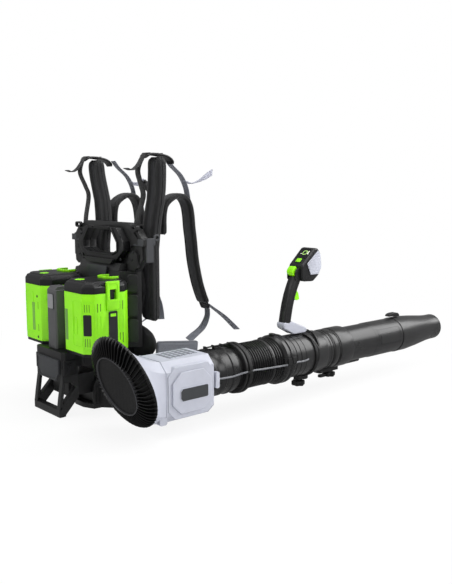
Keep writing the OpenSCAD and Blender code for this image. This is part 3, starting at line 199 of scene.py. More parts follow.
def grain_group():
    """Moulded grain: fine noise as height, broad noise as a slow change of colour and gloss."""
    group, given, made = shader_group("Moulded grain", {"Colour": (0.5, 0.5, 0.5, 1), "Roughness": 0.5,
                                                        "Grains per metre": 900.0, "Patchiness": 0.2},
                                      {"Colour": (0, 0, 0, 1), "Roughness": 0.5, "Height": 0.0})
    where = shader_node(group, "TexCoord").outputs["Object"]
    fine = shader_node(group, "TexNoise", Vector=where, Scale=given["Grains per metre"], Detail=2)
    broad = shader_node(group, "TexNoise", Vector=where, Scale=14, Detail=5, Roughness=0.65)
    swing = worked(group, "MULTIPLY", worked(group, "SUBTRACT", broad.outputs["Fac"], 0.5), 5.0)
    share = worked(group, "MULTIPLY", swing, given["Patchiness"])
    tone = shader_node(group, "HueSaturation", Value=worked(group, "MULTIPLY_ADD", share, 0.6, 1.0),
                       Color=given["Colour"])
    group.links.new(tone.outputs["Color"], made["Colour"])
    group.links.new(worked(group, "MULTIPLY_ADD", share, 0.35, given["Roughness"]), made["Roughness"])
    group.links.new(fine.outputs["Fac"], made["Height"])
    return group


def surfaced(name, group, depth, given, plain):
    """Material whose colour, height and perhaps gloss come from a shader group, over plain shader values."""
    material = bpy.data.materials.new(name)
    material.use_nodes = True
    tree = material.node_tree
    shader = tree.nodes["Principled BSDF"]
    pattern = tree.nodes.new("ShaderNodeGroup")
    pattern.node_tree = group
    for sockets, values in ((pattern.inputs, given), (shader.inputs, plain)):
        for socket, value in values.items():
            sockets[socket].default_value = value
    bump = shader_node(tree, "Bump", Distance=depth, Height=pattern.outputs["Height"])
    tree.links.new(bump.outputs["Normal"], shader.inputs["Normal"])
    tree.links.new(pattern.outputs["Colour"], shader.inputs["Base Color"])
    if "Roughness" in pattern.outputs:
        tree.links.new(pattern.outputs["Roughness"], shader.inputs["Roughness"])
    return material


moulded_grain = grain_group()


def moulding(name, colour, roughness, grains=900.0, depth=0.00004, patchiness=0.2, metallic=0.0):
    """Material of a moulded piece: its colour, gloss and the grain of its mould."""
    given = {"Colour": (*colour, 1), "Roughness": roughness, "Grains per metre": grains,
             "Patchiness": patchiness}
    return surfaced(name, moulded_grain, depth, given, {"Metallic": metallic})


body_of = {node: body for body, nodes in frame["record"]["behaviour"]["bodies"].items() for node in nodes}


def hung(name, mesh, material, node, replaces=()):
    """Object of a mesh with one material, on the body of a CAD node."""
    mesh.materials.append(material)
    piece = placed(name, mesh)
    for replaced in replaces:
        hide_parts(replaced)
    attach(piece, body_of[node])
    return piece


def edged(piece, edge, angle):
    """Rounded edges on a piece, as a modifier, or sharp ones where the edge is 0."""
    if not edge:
        piece.data.set_sharp_from_angle(angle=math.radians(angle))
        return piece
    bevel = piece.modifiers.new("edges", "BEVEL")
    bevel.width, bevel.segments = edge, 2
    bevel.limit_method, bevel.angle_limit = "ANGLE", math.radians(angle)
    bevel.harden_normals = True
    bevel.miter_outer = "MITER_ARC"
    return piece


def worked_over(mesh, change):
    """Mesh put through a change of its bmesh, then shaded smooth."""
    solid = bmesh.new()
    solid.from_mesh(mesh)
    change(solid)
    solid.to_mesh(mesh)
    solid.free()
    mesh.polygons.foreach_set("use_smooth", np.ones(len(mesh.polygons), bool))


def merged(solid):
    """Loose CAD triangles become one skin with flat faces."""
    bmesh.ops.remove_doubles(solid, verts=solid.verts, dist=2e-5)
    bmesh.ops.dissolve_limit(solid, angle_limit=math.radians(0.6), verts=solid.verts, edges=solid.edges)


def outward(solid):
    """Faces point outwards."""
    bmesh.ops.recalc_face_normals(solid, faces=solid.faces)


def trimmed(node, material, edge=0.0012, angle=25):
    """Copy of a CAD node with its doubles merged, its flat faces joined and its edges rounded."""
    mesh = frame["nodes"][node].data.copy()
    mesh.name = node + "_finish"
    mesh.materials.clear()
    worked_over(mesh, merged)
    return edged(hung(node + "_finish", mesh, material, node, [node]), edge, angle)


def fitted(name, shapes, material, node, edge=0.0004, angle=25, replaces=()):
    """One object of many shapes given in millimetres, on the body of a CAD node."""
    points, faces = [], []
    for corners, rings in shapes:
        first = sum(len(p) for p in points)
        points.append(np.asarray(corners, float) * 0.001)
        faces += [[first + i for i in ring] for ring in rings]
    mesh = bpy.data.meshes.new(name)
    mesh.from_pydata(np.vstack(points).tolist(), [], faces)
    worked_over(mesh, outward)
    return edged(hung(name, mesh, material, node, replaces), edge, angle)


def unit(vector):
    """Vectors of length 1 along the given ones: v / |v|."""
    vector = np.asarray(vector, float)
    return vector / np.linalg.norm(vector, axis=-1, keepdims=True)


def looped(rings):
    """Surface through rings of points, each joined to the next and the last to the first."""
    count, n = len(rings), len(rings[0])
    faces = [[k * n + i, k * n + (i + 1) % n, (k + 1) % count * n + (i + 1) % n, (k + 1) % count * n + i]
             for k in range(count) for i in range(n)]
    return np.vstack(rings), faces


def capped(rings):
    """Surface through rings of points, with a flat face at each end."""
    points, faces = looped(rings)
    n = len(rings[0])
    return points, faces[:-n] + [list(range(n))[::-1], list(range(len(points) - n, len(points)))]


def drawn(outline, origin, across, up):
    """Outline that runs anticlockwise, laid out as p = origin + u across + v up: its flat points, the
    function that lays them, and the normal across x up."""
    flat = np.asarray(outline, float)
    if np.sum(flat[:, 0] * np.roll(flat[:, 1], -1) - np.roll(flat[:, 0], -1) * flat[:, 1]) < 0:
        flat = flat[::-1]
    across, up = unit(across), unit(up)

    def laid(uv):
        return np.asarray(origin, float) + uv[:, :1] * across + uv[:, 1:] * up

    return flat, laid, np.cross(across, up)


def slab(outline, origin, across=(1, 0, 0), up=(0, 0, 1), thick=2.0):
    """Flat plate, in millimetres: an outline laid along across and up, thickened along across x up."""
    flat, laid, out = drawn(outline, origin, across, up)
    return capped([laid(flat), laid(flat) + thick * out])


def side_plate(outline, x, thick):
    """Plate of (y, z) points that stands fore and aft, from x towards the right."""
    return slab(outline, (x, 0, 0), (0, 1, 0), (0, 0, 1), thick)


def band(outline, origin, across=(1, 0, 0), up=(0, 0, 1), width=2.0, thick=1.0):
    """Raised line, in millimetres, that follows the inside of a closed outline. Each inner corner lies at
    p + w (m + n) / (1 + m . n), where m and n are the inward normals of its two sides."""
    flat, laid, out = drawn(outline, origin, across, up)
    ahead = unit(np.roll(flat, -1, 0) - flat)
    inward = np.column_stack([-ahead[:, 1], ahead[:, 0]])
    before = np.roll(inward, 1, 0)
    inner = flat + width * (inward + before) / (1 + (inward * before).sum(1, keepdims=True))
    return looped([laid(flat), laid(flat) + thick * out, laid(inner) + thick * out, laid(inner)])


def turned(profile, origin, axis=(0, 0, 1), count=32, shape=capped):
    """Lathe-turned shape, in millimetres: p = origin + r (cos t first + sin t second) + h axis, through its
    (r, h) points. The first spoke lies nearest to the x axis, or to the y axis on a piece turned about x."""
    axis = unit(axis)
    first = unit(np.cross(np.cross(axis, (0, 1, 0) if abs(axis[0]) > 0.9 else (1, 0, 0)), axis))
    second = np.cross(axis, first)
    turn = 2 * np.pi * np.arange(count) / count
    spoke = np.cos(turn)[:, None] * first + np.sin(turn)[:, None] * second
    return shape([np.asarray(origin, float) + r * spoke + h * axis for r, h in profile])


def rect(width, height, cut=0.0):
    """Rectangle about the origin, with cut corners."""
    x, y = width / 2, height / 2
    if not cut:
        return [(-x, -y), (x, -y), (x, y), (-x, y)]
    return [(cut - x, -y), (x - cut, -y), (x, cut - y), (x, y - cut), (x - cut, y), (cut - x, y),
            (-x, y - cut), (-x, cut - y)]


def oval(width, height, count=24, power=0.5, power_up=None, shift=0.0):
    """Rounded rectangle: x = w/2 cos^p, y = h/2 sin^q, q = p unless given. A power of 1 makes an ellipse."""
    turn = 2 * np.pi * (np.arange(count) + shift) / count
    power_up = power_up or power
    return np.column_stack([np.sign(np.cos(turn)) * np.abs(np.cos(turn)) ** power * width / 2,
                            np.sign(np.sin(turn)) * np.abs(np.sin(turn)) ** power_up * height / 2])


def screw_head(x, y, z, axis):
    """Pan head screw with a dimple for its driver."""
    return turned([(4.0, 0), (4.0, 0.8), (3.44, 1.6), (2.0, 1.8), (1.68, 0.7)], (x, y, z), axis, 20)


black_nylon = moulding("black_nylon", (0.0165, 0.0167, 0.0172), 0.38)
black_satin = moulding("black_satin", (0.008, 0.008, 0.009), 0.38)
dark_grey_nylon = moulding("dark_grey_nylon", (0.050, 0.052, 0.058), 0.48)
steel_black = moulding("black_steel", (0.045, 0.046, 0.05), 0.35, metallic=0.6)
steel = moulding("bright_steel", (0.55, 0.56, 0.58), 0.3, metallic=1.0)
trimmed("back_frame", black_nylon, 0.002)
trimmed("carry_handle", black_satin, 0.002)
rim = [(-93, 445), (-61, 433), (61, 433), (93, 445), (93, 471.5), (62, 510), (-62, 510), (-93, 471.5)]
rims = [band(rim, (0, 37, 0), width=5, thick=6), slab(rect(96, 5, 1.5), (0, 32, 511), thick=3)]
rims += [slab(rect(26, 7, 1.5), (side * 44, 31, 511), thick=4) for side in (1, -1)]
fitted("handle_rims", rims, black_satin, "carry_handle", 0.0012)

# Raised bars, facets and panels stiffen the moulding's rear face, and pan head screws join it.
stiffeners = [slab([(-64, 409), (64, 409), (80, 423), (-80, 423)], (0, 36, 0), thick=11)]
for side in (1, -1):
    shoulder = [(118, 414), (126, 440), (150, 452), (166, 440), (163, 404), (150, 396), (124, 396)]
    stiffeners.append(slab([(side * x, z) for x, z in shoulder], (0, 57, 0), thick=9))
    wing = [(128, 458), (150, 470), (164, 466), (164, 482), (146, 500), (130, 492)]
    stiffeners.append(slab([(side * x, z) for x, z in wing], (0, 57, 0), thick=6))
    stiffeners.append(band(oval(30, 17, 24, 0.6), (side * 150, 58, 512), width=5, thick=9))
fitted("frame_stiffeners", stiffeners, black_nylon, "back_frame", 0.0025, 15)
lean = np.array((33, 36, 0)) / math.hypot(33, 36)
panels = []
for side in (1, -1):
    for low, high in ((196, 262), (270, 330), (338, 386)):
        panels.append(slab(rect(30, high - low, 6), (side * 149, 44, (low + high) / 2),
                           (side * lean[0], lean[1], 0), (0, 0, 1), side * 3))
fitted("frame_panels", panels, black_nylon, "back_frame", 0.0018)
screws = [screw_head(side * x, y, z, (0, -1, 0)) for side in (1, -1)
          for x, y, z in ((106, 34, 424), (106, 34, 488), (140, 48, 424), (146, 48, 446))]
fitted("frame_screws", screws, steel_black, "back_frame", 0.0002)

# The arm on each shoulder carries the ring that the harness hooks into. It is dark grey nylon.
hooks = []
for side in (1, -1):
    leg = [(61.5, 419), (84.5, 419), (84.5, 466), (90.5, 466), (90.5, 485), (61.5, 485)]
    hooks.append(side_plate(leg, side * 190.4 - 3, 6))
    hooks.append(slab(rect(58, 18.6, 3), (side * 163, 51.6, 473), thick=-24.8))
    hooks.append(band(oval(19, 19, 28, 1), (side * 190.4 - 3, 96, 486), (0, 1, 0), (0, 0, 1), 4.4, 6))
fitted("hook_arms", hooks, dark_grey_nylon, "back_frame", 0.0015)

# ---- Pack base and battery dock ----
# The base column stands on a floor flange with ribs, the rear foot loop is bolted behind it, and
# the dock sits on both. The controller box hangs inside. All are black nylon mouldings.
for node in ("base_column", "blower_bracket", "controller_box"):
    trimmed(node, black_nylon, 0.0015)

# Each side of the loop is a frame: a slanting foot, a thin rear edge and a block under the dock,
# with a window between them. A square bar joins the feet at the floor.
slanting_foot = [(-149.8, 0.4), (-134, 0.4), (-88.5, 50), (-88.5, 78), (-98, 80), (-150, 24)]
rear_edge = [(-149.8, 20), (-140, 22), (-129, 100), (-137.6, 100), (-146, 49)]
top_block = [(-137.8, 94), (-137.8, 135.5), (-88.5, 135.5), (-88.5, 76), (-98, 78), (-110, 94)]
loop = [side_plate(outline, x, 17) for x in (57, -74) for outline in (slanting_foot, rear_edge, top_block)]
loop.append(side_plate([(-149.8, 0.4), (-129, 0.4), (-129, 21), (-149.8, 21)], -73, 146))
loop.append(side_plate([(-104, 108), (-88.5, 108), (-88.5, 135.5), (-104, 135.5)], -60, 120))
fitted("foot_loop_frame", loop, black_nylon, "foot_loop", 0.002, replaces=["foot_loop"])
badge_grey = moulding("badge_grey", (0.040, 0.042, 0.047), 0.42)
trimmed("badge_plates", badge_grey, 0.0008)
trimmed("battery_dock", black_satin, 0.0015)
trimmed("dock_terminals", moulding("contact_metal", (0.72, 0.60, 0.32), 0.3, metallic=1.0), 0)
trimmed("controller_board", moulding("circuit_board", (0.02, 0.10, 0.05), 0.4), 0)
post_grey = moulding("post_grey", (0.080, 0.080, 0.083), 0.5)
trimmed("dock_post", post_grey, 0.002)
plate_grey = moulding("plate_grey", (0.23, 0.23, 0.24), 0.5)
lugs, ribs = [], []
ring = [(6.5, 0), (6.5, 1.2), (5.2, 1.2), (5.0, 0.2)]
for side in (1, -1):
    lugs.append(turned(ring, (side * 81, -118, 142), (side, 0, 0), 24))
    for k in range(4):
        ribs.append(slab(rect(2.4, 52), (side * 58.5, -24 + 9 * k, 44), (0, 1, 0), (0, 0, 1), 1.6 * side))
    lugs.append(slab(rect(15, 20, 4), (side * 81, -68, 150), (0, side, 0), (0, 0, 1), 1.4))
fitted("dock_lugs", lugs, black_satin, "battery_dock")
fitted("base_ribs", ribs, black_nylon, "base_column")
fitted("label_plates", [slab(rect(30, 40, 3), (0, -128.05, 312), thick=0.5)], plate_grey, "badge_plates",
       0.0003)
panel = [(-44, 99), (44, 99), (61, 123), (61, 157), (-61, 157), (-61, 123)]
fitted("panel_rim", [band(panel, (0, -143, 0), width=3.0, thick=1.2)], badge_grey, "badge_plates")

# ---- Batteries ----
# Each battery is a lime shell between a black rim and a black cap with sloping shoulders, with a lime
# latch round a dark thumb recess, a lime handle strip on top and bare labels on its facets.
lime = moulding("lime_shell", (0.30, 0.88, 0.004), 0.36, patchiness=0.12)
lime_slot_shade = moulding("lime_recess_shade", (0.10, 0.36, 0.002), 0.5)
labels_and_painted_shade = moulding("labels_and_painted_shade", (0.016, 0.016, 0.018), 0.35)
label_dull = moulding("label_dull", (0.15, 0.33, 0.07), 0.5)
cell_metal = moulding("cell_cans", (0.55, 0.56, 0.60), 0.3, metallic=1.0)
rear, corner = ((114.5, -122, 0), (1, 0, 0)), ((56.5, -110, 0), (1, -1, 0))
facet, flank = ((172.5, -110, 0), (1, 1, 0)), ((184.5, -52, 0), (0, 1, 0))


def upright(u0, u1, z0, z1, cut=0.0):
    """Rectangle between two distances and two heights, with cut corners."""
    return [(u + (u0 + u1) / 2, z + (z0 + z1) / 2) for u, z in rect(u1 - u0, z1 - z0, cut)]


def on_side(side, place, outline, lift=0.0, thick=0.5, line=0.0):
    """Plate or raised line on a face of the right battery, or its mirror image for the left one."""
    origin, across = (np.asarray(value, float) for value in place)
    out = np.cross(across, (0, 0, 1))
    origin = origin + lift * out / np.linalg.norm(out)
    if line:
        points, faces = band(outline, origin, across, width=line, thick=thick)
    else:
        points, faces = slab(outline, origin, across, thick=thick)
    return points * (side, 1, 1), faces


def corners_of(mesh):
    """Points of a mesh, one to a row."""
    points = np.empty(3 * len(mesh.vertices))
    mesh.vertices.foreach_get("co", points)
    return points.reshape(-1, 3)


def moved(piece, change):
    """Piece with its points, in millimetres, put through a function."""
    piece.data.vertices.foreach_set("co", change(corners_of(piece.data) * 1000).ravel() * 0.001)
    piece.data.update()


def lowered_strip(points):
    """The handle strip comes down onto the cap: z falls by 9.6 above the cap's edge."""
    points[:, 2] -= 9.6 * (points[:, 2] > 387)
    return points


shoulder_z = 364


def cut_level(solid):
    """Cut through the cap's faces at the height where its shoulders start."""
    bmesh.ops.bisect_plane(solid, geom=solid.verts[:] + solid.edges[:] + solid.faces[:],
                           plane_co=(0, 0, shoulder_z * 0.001), plane_no=(0, 0, 1))


def sloped_cap(points):
    """Shoulders of the cap slope in. Above them heights shrink to 0.6, and what lies more than 45 from the
    cap's middle is drawn in by k = 1 - 0.0175 (z - shoulder)."""
    high = np.clip(points[:, 2] - shoulder_z, 0, None)
    draw = 1 - 0.0175 * high
    for i, middle in ((0, np.sign(points[:, 0]) * 114.5), (1, -52.0)):
        away = points[:, i] - middle
        points[:, i] = middle + np.where(np.abs(away) > 45,
                                         np.sign(away) * (45 + (np.abs(away) - 45) * draw), away)
    points[:, 2] -= 0.4 * high
    return points


for s, side in ((-1, "left"), (1, "right")):
    shell, caps = f"battery_{side}_shell", f"battery_{side}_caps"
    moved(trimmed(shell, lime, 0.0015), lowered_strip)
    cap = trimmed(caps, black_satin, 0.0015, angle=20)
    worked_over(cap.data, cut_level)
    moved(cap, sloped_cap)
    trimmed(f"battery_{side}_latch", lime, 0.001)
    trimmed(f"battery_{side}_cells", cell_metal, 0)
    # The larger black plates are labels and the floor of the thumb recess; the thin black lines and the two
    # discs are painted shade in slots and holes.
    dark = [on_side(s, flank, upright(-5.4, 21.4, 191.6, 298.4, 3), thick=1.9)]
    dark.append(on_side(s, flank, upright(-1.5, 17.5, 328.6, 355.4, 4), lift=-5.2, thick=0.8))
    # Thin black lines above and below the raised frames: painted shade in slots.
    dark += [on_side(s, flank, upright(u, u + 1.7, z0, z1), thick=0.3)
             for u, z0, z1 in ((-39, 299, 322), (-30, 301, 321), (29, 302, 324), (38, 300, 324),
                               (29, 219, 238), (38, 210, 238))]
    raised = [on_side(s, flank, upright(u, u + 12, 243, 291, 3), thick=0.8, line=1.2) for u in (-40, 29)]
    raised.append(on_side(s, facet, upright(-16, 15, 200, 327, 4), thick=0.8, line=1.2))
    raised.append(on_side(s, rear, upright(-2, 44, 206, 327, 4), thick=0.8, line=1.4))
    raised += [on_side(s, corner, upright(-4.5, 4.5, z - 4.5, z + 4.5), thick=3.4) for z in (315, 197, 256)]
    latch = [on_side(s, flank, oval(38, 53, 28, 0.45) + (8, 350.5), lift=4, thick=1.4, line=5.5)]
    dull = []
    if side == "right":
        dark.append(on_side(s, facet, upright(-15, 7, 237, 293, 2), thick=0.5))
        # Thin black lines on the facet: painted shade in slots.
        dark += [on_side(s, facet, upright(u, u + 1.3, z0, z1), thick=0.3)
                 for u in (-11, -5, 1) for z0, z1 in ((300, 320), (208, 230))]
        dull.append(on_side(s, rear, upright(-44, -30, 216, 300), thick=0.4))
        raised.append(on_side(s, rear, upright(2, 20, 236, 284, 4), thick=0.8, line=1.2))
    else:
        # Two black discs on the left rear: painted shade in its holes.
        dark += [turned([(3.8, 0), (3.8, 0.5)], (-90, -122, z), (0, -1, 0), 20) for z in (314.8, 197.7)]
        dull.append(on_side(s, rear, upright(-8, 6, 215, 296, 1), thick=0.4))
        # The two rear slots are thin plates of darker lime: painted shade in the slots.
        slots = [on_side(s, rear, upright(-30, -27.4, z, z + 20), thick=0.3) for z in (215, 279)]
        fitted("battery_left_slots", slots, lime_slot_shade, shell, 0)
    fitted(f"battery_{side}_dark", dark, labels_and_painted_shade, shell, 0.0003)
    fitted(f"battery_{side}_raised", raised, lime, shell, 0.0005)
    fitted(f"battery_{side}_label", dull, label_dull, shell, 0.0002)
    mark = on_side(s, flank, upright(-0.5, 16.5, 284, 292), lift=1.9, thick=0.4)
    fitted(f"battery_{side}_mark", [mark], lime, shell, 0.0002)
    fitted(f"battery_{side}_latch_rim", latch, lime, f"battery_{side}_latch", 0.0008)
    button = turned([(13, 0), (13, 1.6), (9, 2.4)], (s * 100, -92, 377.6), count=28)
    fitted(f"battery_{side}_button", [button], lime, shell)

# ---- Intake grille ----
# Black nylon disc in front of the cone. Some sixty thin fins run from an inner ring out over the
# rounded rim, and a fine mesh plate with raised studs closes the domed middle.
axis_x, axis_z = 331, 125  # of the fan and the tube
grille_place = np.array([axis_x, -110.0, 145.0])
grille_axes = np.array([(1, 0, 0), (0, -0.3256, 0.9455), (0, -0.9455, -0.3256)])


def on_grille(radius, turn, height):
    """Point on the grille at a radius, an angle and a height above its base plane."""
    flat = np.stack(np.broadcast_arrays(radius * np.cos(turn), radius * np.sin(turn), height), -1)
    return grille_place + flat @ grille_axes


fin_count, fins = 58, []
fin_line = [(79, 22.0), (86, 21.5), (98, 18.5), (111, 14.0), (120, 9.0), (125.5, 2.5), (126, -4.5)]
fin_foot = [(79, 14.0), (86, 13.0), (97, 10.0), (107, 6.0), (114, 2.0), (118, -2.0), (120, -4.5)]
for turn in 2 * np.pi * np.arange(fin_count) / fin_count:
    rings = []
    for top, foot in zip(fin_line, fin_foot):
        ends = [[on_grille(radius, turn + 0.10 * ((radius - 77) / 48) ** 2 + swing / radius, height)
                 for swing in (-0.95, 0.95)] for radius, height in (top, foot)]
        rings.append(np.array(ends[0] + ends[1][::-1]))
    fins.append(capped(rings))
grille_black = moulding("grille_black", (0.0035, 0.0035, 0.004), 0.36)
fitted("grille_fins", fins, grille_black, "intake_grille", 0.0003, replaces=["intake_grille"])
shadow_black = moulding("shadow_black", (0.0022, 0.0022, 0.0025), 0.6)
hub = tuple(grille_place)
ahead = tuple(grille_axes[2])
fitted("grille_rim", [turned([(112, -0.5), (119.5, 1.5), (122.5, 0.5), (123.6, -2.0), (123.6, -5.5),
                              (119, -5.5)], hub, ahead, 96)], grille_black, "intake_grille", 0, 40)
# grille_shade is a painted shadow: a near-black cone just under the fins, where their shade falls.
fitted("grille_shade", [turned([(78, 8), (78, 14.5), (98, 10.5), (112, 4.5), (118.5, -1), (118.5, -5)], hub,
                               ahead, 64)], shadow_black, "intake_grille", 0)
fitted("grille_ring", [turned([(77.4, 14), (77.4, 21.8), (78.4, 23.0), (80.0, 22.4), (80.8, 14)], hub,
                              ahead, 96)], moulding("ring_grey", (0.045, 0.045, 0.050), 0.3),
       "intake_grille", 0, 40)
fitted("grille_plate", [turned([(0.5, 15), (78, 15), (78, 18), (0.5, 18)], hub, ahead, 64)],
       shadow_black, "intake_grille", 0)
holes = []
for i in range(-12, 13):
    for j in range(-14, 15):
        across, along = 6.4 * (i + j / 2), 5.54 * j
        if math.hypot(across, along) < 74:
            place = grille_place + across * grille_axes[0] + along * grille_axes[1] + 18 * grille_axes[2]
            holes.append(turned([(2.3, 0), (1.5, 0.6)], tuple(place), ahead, 6))
fitted("grille_mesh", holes, moulding("mesh_black", (0.005, 0.005, 0.0055), 0.4), "intake_grille", 0)

# ---- Intake cone, motor housing and side cover ----
# Pale glass-filled nylon mouldings. The cone runs from the round grille to an eight-sided housing
# with vents on top, and the outer side carries a stepped cover with a bare badge place.
pale = moulding("pale_shell", (0.475, 0.49, 0.56), 0.42, patchiness=0.1)
housing_middle = np.array([axis_x, 113.5])
housing_corners = np.array([(70, -54.5), (70, 54.5), (46, 78.5), (-46, 78.5), (-70, 54.5), (-70, -54.5),
                            (-46, -78.5), (46, -78.5)])


def housing_row(y, inset=0.0, steps=8):
    """Ring of points round the housing at one station, with each side cut into steps. A corner moves in with
    both of its sides, c (1 - inset / reach)."""
    corners = housing_corners * (1 - inset / np.abs(housing_corners).max(0))
    share = (np.arange(steps) / steps)[None, :, None]
    flat = housing_middle + (corners[:, None] * (1 - share)
                             + np.roll(corners, -1, 0)[:, None] * share).reshape(-1, 2)
    return np.column_stack([flat[:, 0], np.full(len(flat), y), flat[:, 1]])


bearing = housing_row(0) - [housing_middle[0], 0, housing_middle[1]]
bearing = np.arctan2(bearing[:, 2], bearing[:, 0])
rim = on_grille(121.5, bearing, -3.0)
narrow = housing_row(-31)
cone_rows = []
for share in np.linspace(0, 1, 12):
    bend = share + 0.16 * np.sin(np.pi * share)
    cone_rows.append(rim * (1 - share) + narrow * share + (narrow - rim) * [1, 0, 1] * (bend - share))
inner = [row + (np.array([axis_x, 0, 120.0]) - row) * [0.04, 0, 0.04] for row in cone_rows[::-1]]
fitted("intake_cone_skin", [looped(cone_rows + inner)], pale, "intake_cone", 0, 12, ["intake_cone"])
mouth = np.column_stack([axis_x + 60 * np.cos(bearing), np.full(len(bearing), 125.0),
                         axis_z + 60 * np.sin(bearing)])
housing_walls = [housing_row(-27, 3), housing_row(-27), housing_row(121.5), housing_row(124.9, 3.5), mouth,
                 mouth - [0, 4, 0], housing_row(121, 6), housing_row(-24, 4)]
fitted("motor_housing_skin", [looped(housing_walls)], pale, "motor_housing", 0, 20, ["motor_housing"])
lip = [housing_row(y, inset) for y, inset in ((-32, 1), (-32, -1.6), (-28.4, -1.6), (-28.4, 1))]
fitted("housing_lip", [looped(lip)], pale, "motor_housing", 0, 25)

cover = [side_plate(upright(-27, 121, 46, 180, 22), 384, 19.5),
         side_plate(upright(-16, 108, 58, 165, 26), 401, 7.5)]
fitted("side_cover_skin", cover, pale, "side_cover", 0.0018, replaces=["side_cover"])
badge = [(6, 98), (13, 89), (93, 89), (97, 93), (97, 120), (93, 124), (13, 124), (6, 116)]
fitted("badge_place", [side_plate(badge, 408.5, 1.2)], moulding("badge_dark", (0.045, 0.048, 0.052), 0.4),
       "side_cover", 0.0006)
fitted("badge_place_rim", [band(badge, (408.5, 0, 0), (0, 1, 0), (0, 0, 1), 1.6, 1.9)], pale, "side_cover",
       0.0004)


def top_plate(outline, place, thick):
    """Level plate of (x, y) points about a place, thickened upwards."""
    return slab(outline, place, (1, 0, 0), (0, 1, 0), thick)


vents, lips = [], []
for k in range(6):
    y = 14 + 17 * k
    vents.append(top_plate(oval(62, 6.5, 20, 0.4), (329 - 0.1 * y, y, 192.0), 0.4))
    lips.append(top_plate(oval(66, 4.0, 20, 0.4), (329 - 0.1 * y, y + 6.6, 191.5), 3.0))
# The vents are dark plates under the louvres, painted shade in their openings.
fitted("top_vents", vents, moulding("vent_shade", (0.16, 0.165, 0.19), 0.6), "motor_housing", 0)
fitted("top_louvres", lips, pale, "motor_housing", 0.0006)
small = [side_plate(upright(-50, -27, 36, 58, 4), 380, 19),
         side_plate(upright(125, 137, 103, 147, 3), 394, 13),
         slab(rect(30, 26, 4), (384, 108, 165), (0, 1, 0), (-0.7, 0, 0.7), 7),
         top_plate(rect(34, 18, 2), (324, 13, 22), 13), top_plate(rect(34, 18, 2), (324, 112, 22), 13)]
fitted("housing_lugs", small, pale, "motor_housing", 0.001)
# The seam is a dark plate just round the cover, painted shade in the gap between cover and housing.
seams = [side_plate(upright(-27.5, 121.5, 45.5, 180.5, 22), 382.6, 1.4)]
fitted("cover_seam", seams, moulding("seam_shade", (0.12, 0.125, 0.145), 0.6), "side_cover", 0)

# ---- Fan and motor ----
# A nylon duct inside the housing holds guide vanes round the motor's tube. The fan sits on the
# motor's steel shaft, which runs in two bearings inside the copper windings of the stator.
trimmed("fan_duct", black_nylon, 0)
trimmed("fan_rotor", black_nylon, 0)
trimmed("motor_stator", moulding("windings", (0.50, 0.26, 0.10), 0.4, metallic=1.0), 0)
for node in ("motor_bearings", "motor_shaft", "housing_screws"):
    trimmed(node, steel, 0)

# ---- Hose ----
# A ribbed elastomer hose joins the fan's collar to the tube, so the tube can be swung and lifted.
# A stiff band clamps it at each end and a hoop in the middle carries the grey control cable.
tube_black = moulding("tube_black", (0.020, 0.020, 0.0205), 0.29, patchiness=0.06)
rubber_black = moulding("rubber_black", (0.013, 0.013, 0.0135), 0.28, patchiness=0.06)
band_black = moulding("band_black", (0.0075, 0.0075, 0.008), 0.5)
tube_middle = (axis_x, 0, axis_z)


def bent(piece, first, second, start, end):
    """Piece taken off its body and fixed where it stands, its transform baked into its mesh. The two bodies
    and the stations along the tube, in millimetres, are not used.
    """
    piece.parent = None
    del piece["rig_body"]
    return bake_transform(piece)


def wall(outside, bore, count=72):
    """Hollow wall turned on the tube's axis: the (radius, station) points of its outside from back to front,
    then those of its bore, which may be one radius."""
    if not isinstance(bore, list):
        bore = [(bore, outside[-1][1]), (bore, outside[0][1])]
    return turned(outside + bore, tube_middle, (0, 1, 0), count, shape=looped)


def ribs(start, end, pitch=8.6, crest=64.5, valley=57.5):
    """Outside of a ribbed hose: rounded crests, one for each pitch."""
    count = round((end - start) / pitch)
    pitch = (end - start) / count
    steps = [(valley, 0.0), (valley, 0.2), (valley + 4, 0.36), (crest, 0.5), (crest, 0.66), (valley + 4, 0.8)]
    return [(r, start + (k + s) * pitch) for k in range(count) for r, s in steps] + [(valley, end)]


for node, start, end, bend in (("hose_rear", 257, 351, ("pack", "hose_mid", 300, 343)),
                               ("hose_front", 351, 420, ("hose_mid", "tube", 367, 410))):
    bent(fitted(node + "_ribs", [wall(ribs(start, end), 56)], rubber_black, node, 0, 35, [node]), *bend)

# The collar clips to the housing. Two raised ridges stiffen it, and a strip of clips runs on top.
collar = wall([(60, 124), (62.5, 126), (63, 131), (66, 134), (66, 139), (63, 142), (63, 160), (64.5, 163),
               (64.5, 174), (62.5, 177), (62.5, 196), (65, 199), (65, 204), (62.5, 207), (62, 222),
               (59, 226), (59, 246)], 56)
fitted("outlet_collar_skin", [collar], rubber_black, "outlet_collar", 0, 30, ["outlet_collar"])
clips = [top_plate(rect(12, 26, 2), (axis_x, y, 187), 6) for y in (146, 190)]
clips += [top_plate(rect(7, 100, 1.5), (axis_x, 196, 194), 3)]
clips += [top_plate(rect(14, 5, 1), (axis_x, y, 193), 6) for y in (150, 178, 206, 234)]
fitted("collar_clips", clips, band_black, "outlet_collar", 0.0008)
rear_band = wall([(60, 236), (69, 237), (70.5, 239), (70.5, 244), (67, 246), (67, 248), (71, 249.5),
                  (72, 252), (72, 259), (70, 262), (61, 263)], 57)
fitted("hose_rear_band_skin", [rear_band], band_black, "hose_rear_band", 0, 30, ["hose_rear_band"])
hoop = wall([(60, 348.4), (64.6, 349), (65.4, 350.2), (65.4, 353.8), (64.6, 355), (60, 355.6)], 57)
fitted("hose_hoop_skin", [hoop], rubber_black, "hose_hoop", 0, 30, ["hose_hoop"])
front_band = wall([(61, 389), (66, 390), (71, 396), (72.5, 398), (72.5, 407), (69.5, 410), (69.5, 413),
                   (72.5, 416), (72.5, 424), (70, 428), (64, 429)], 59.6)
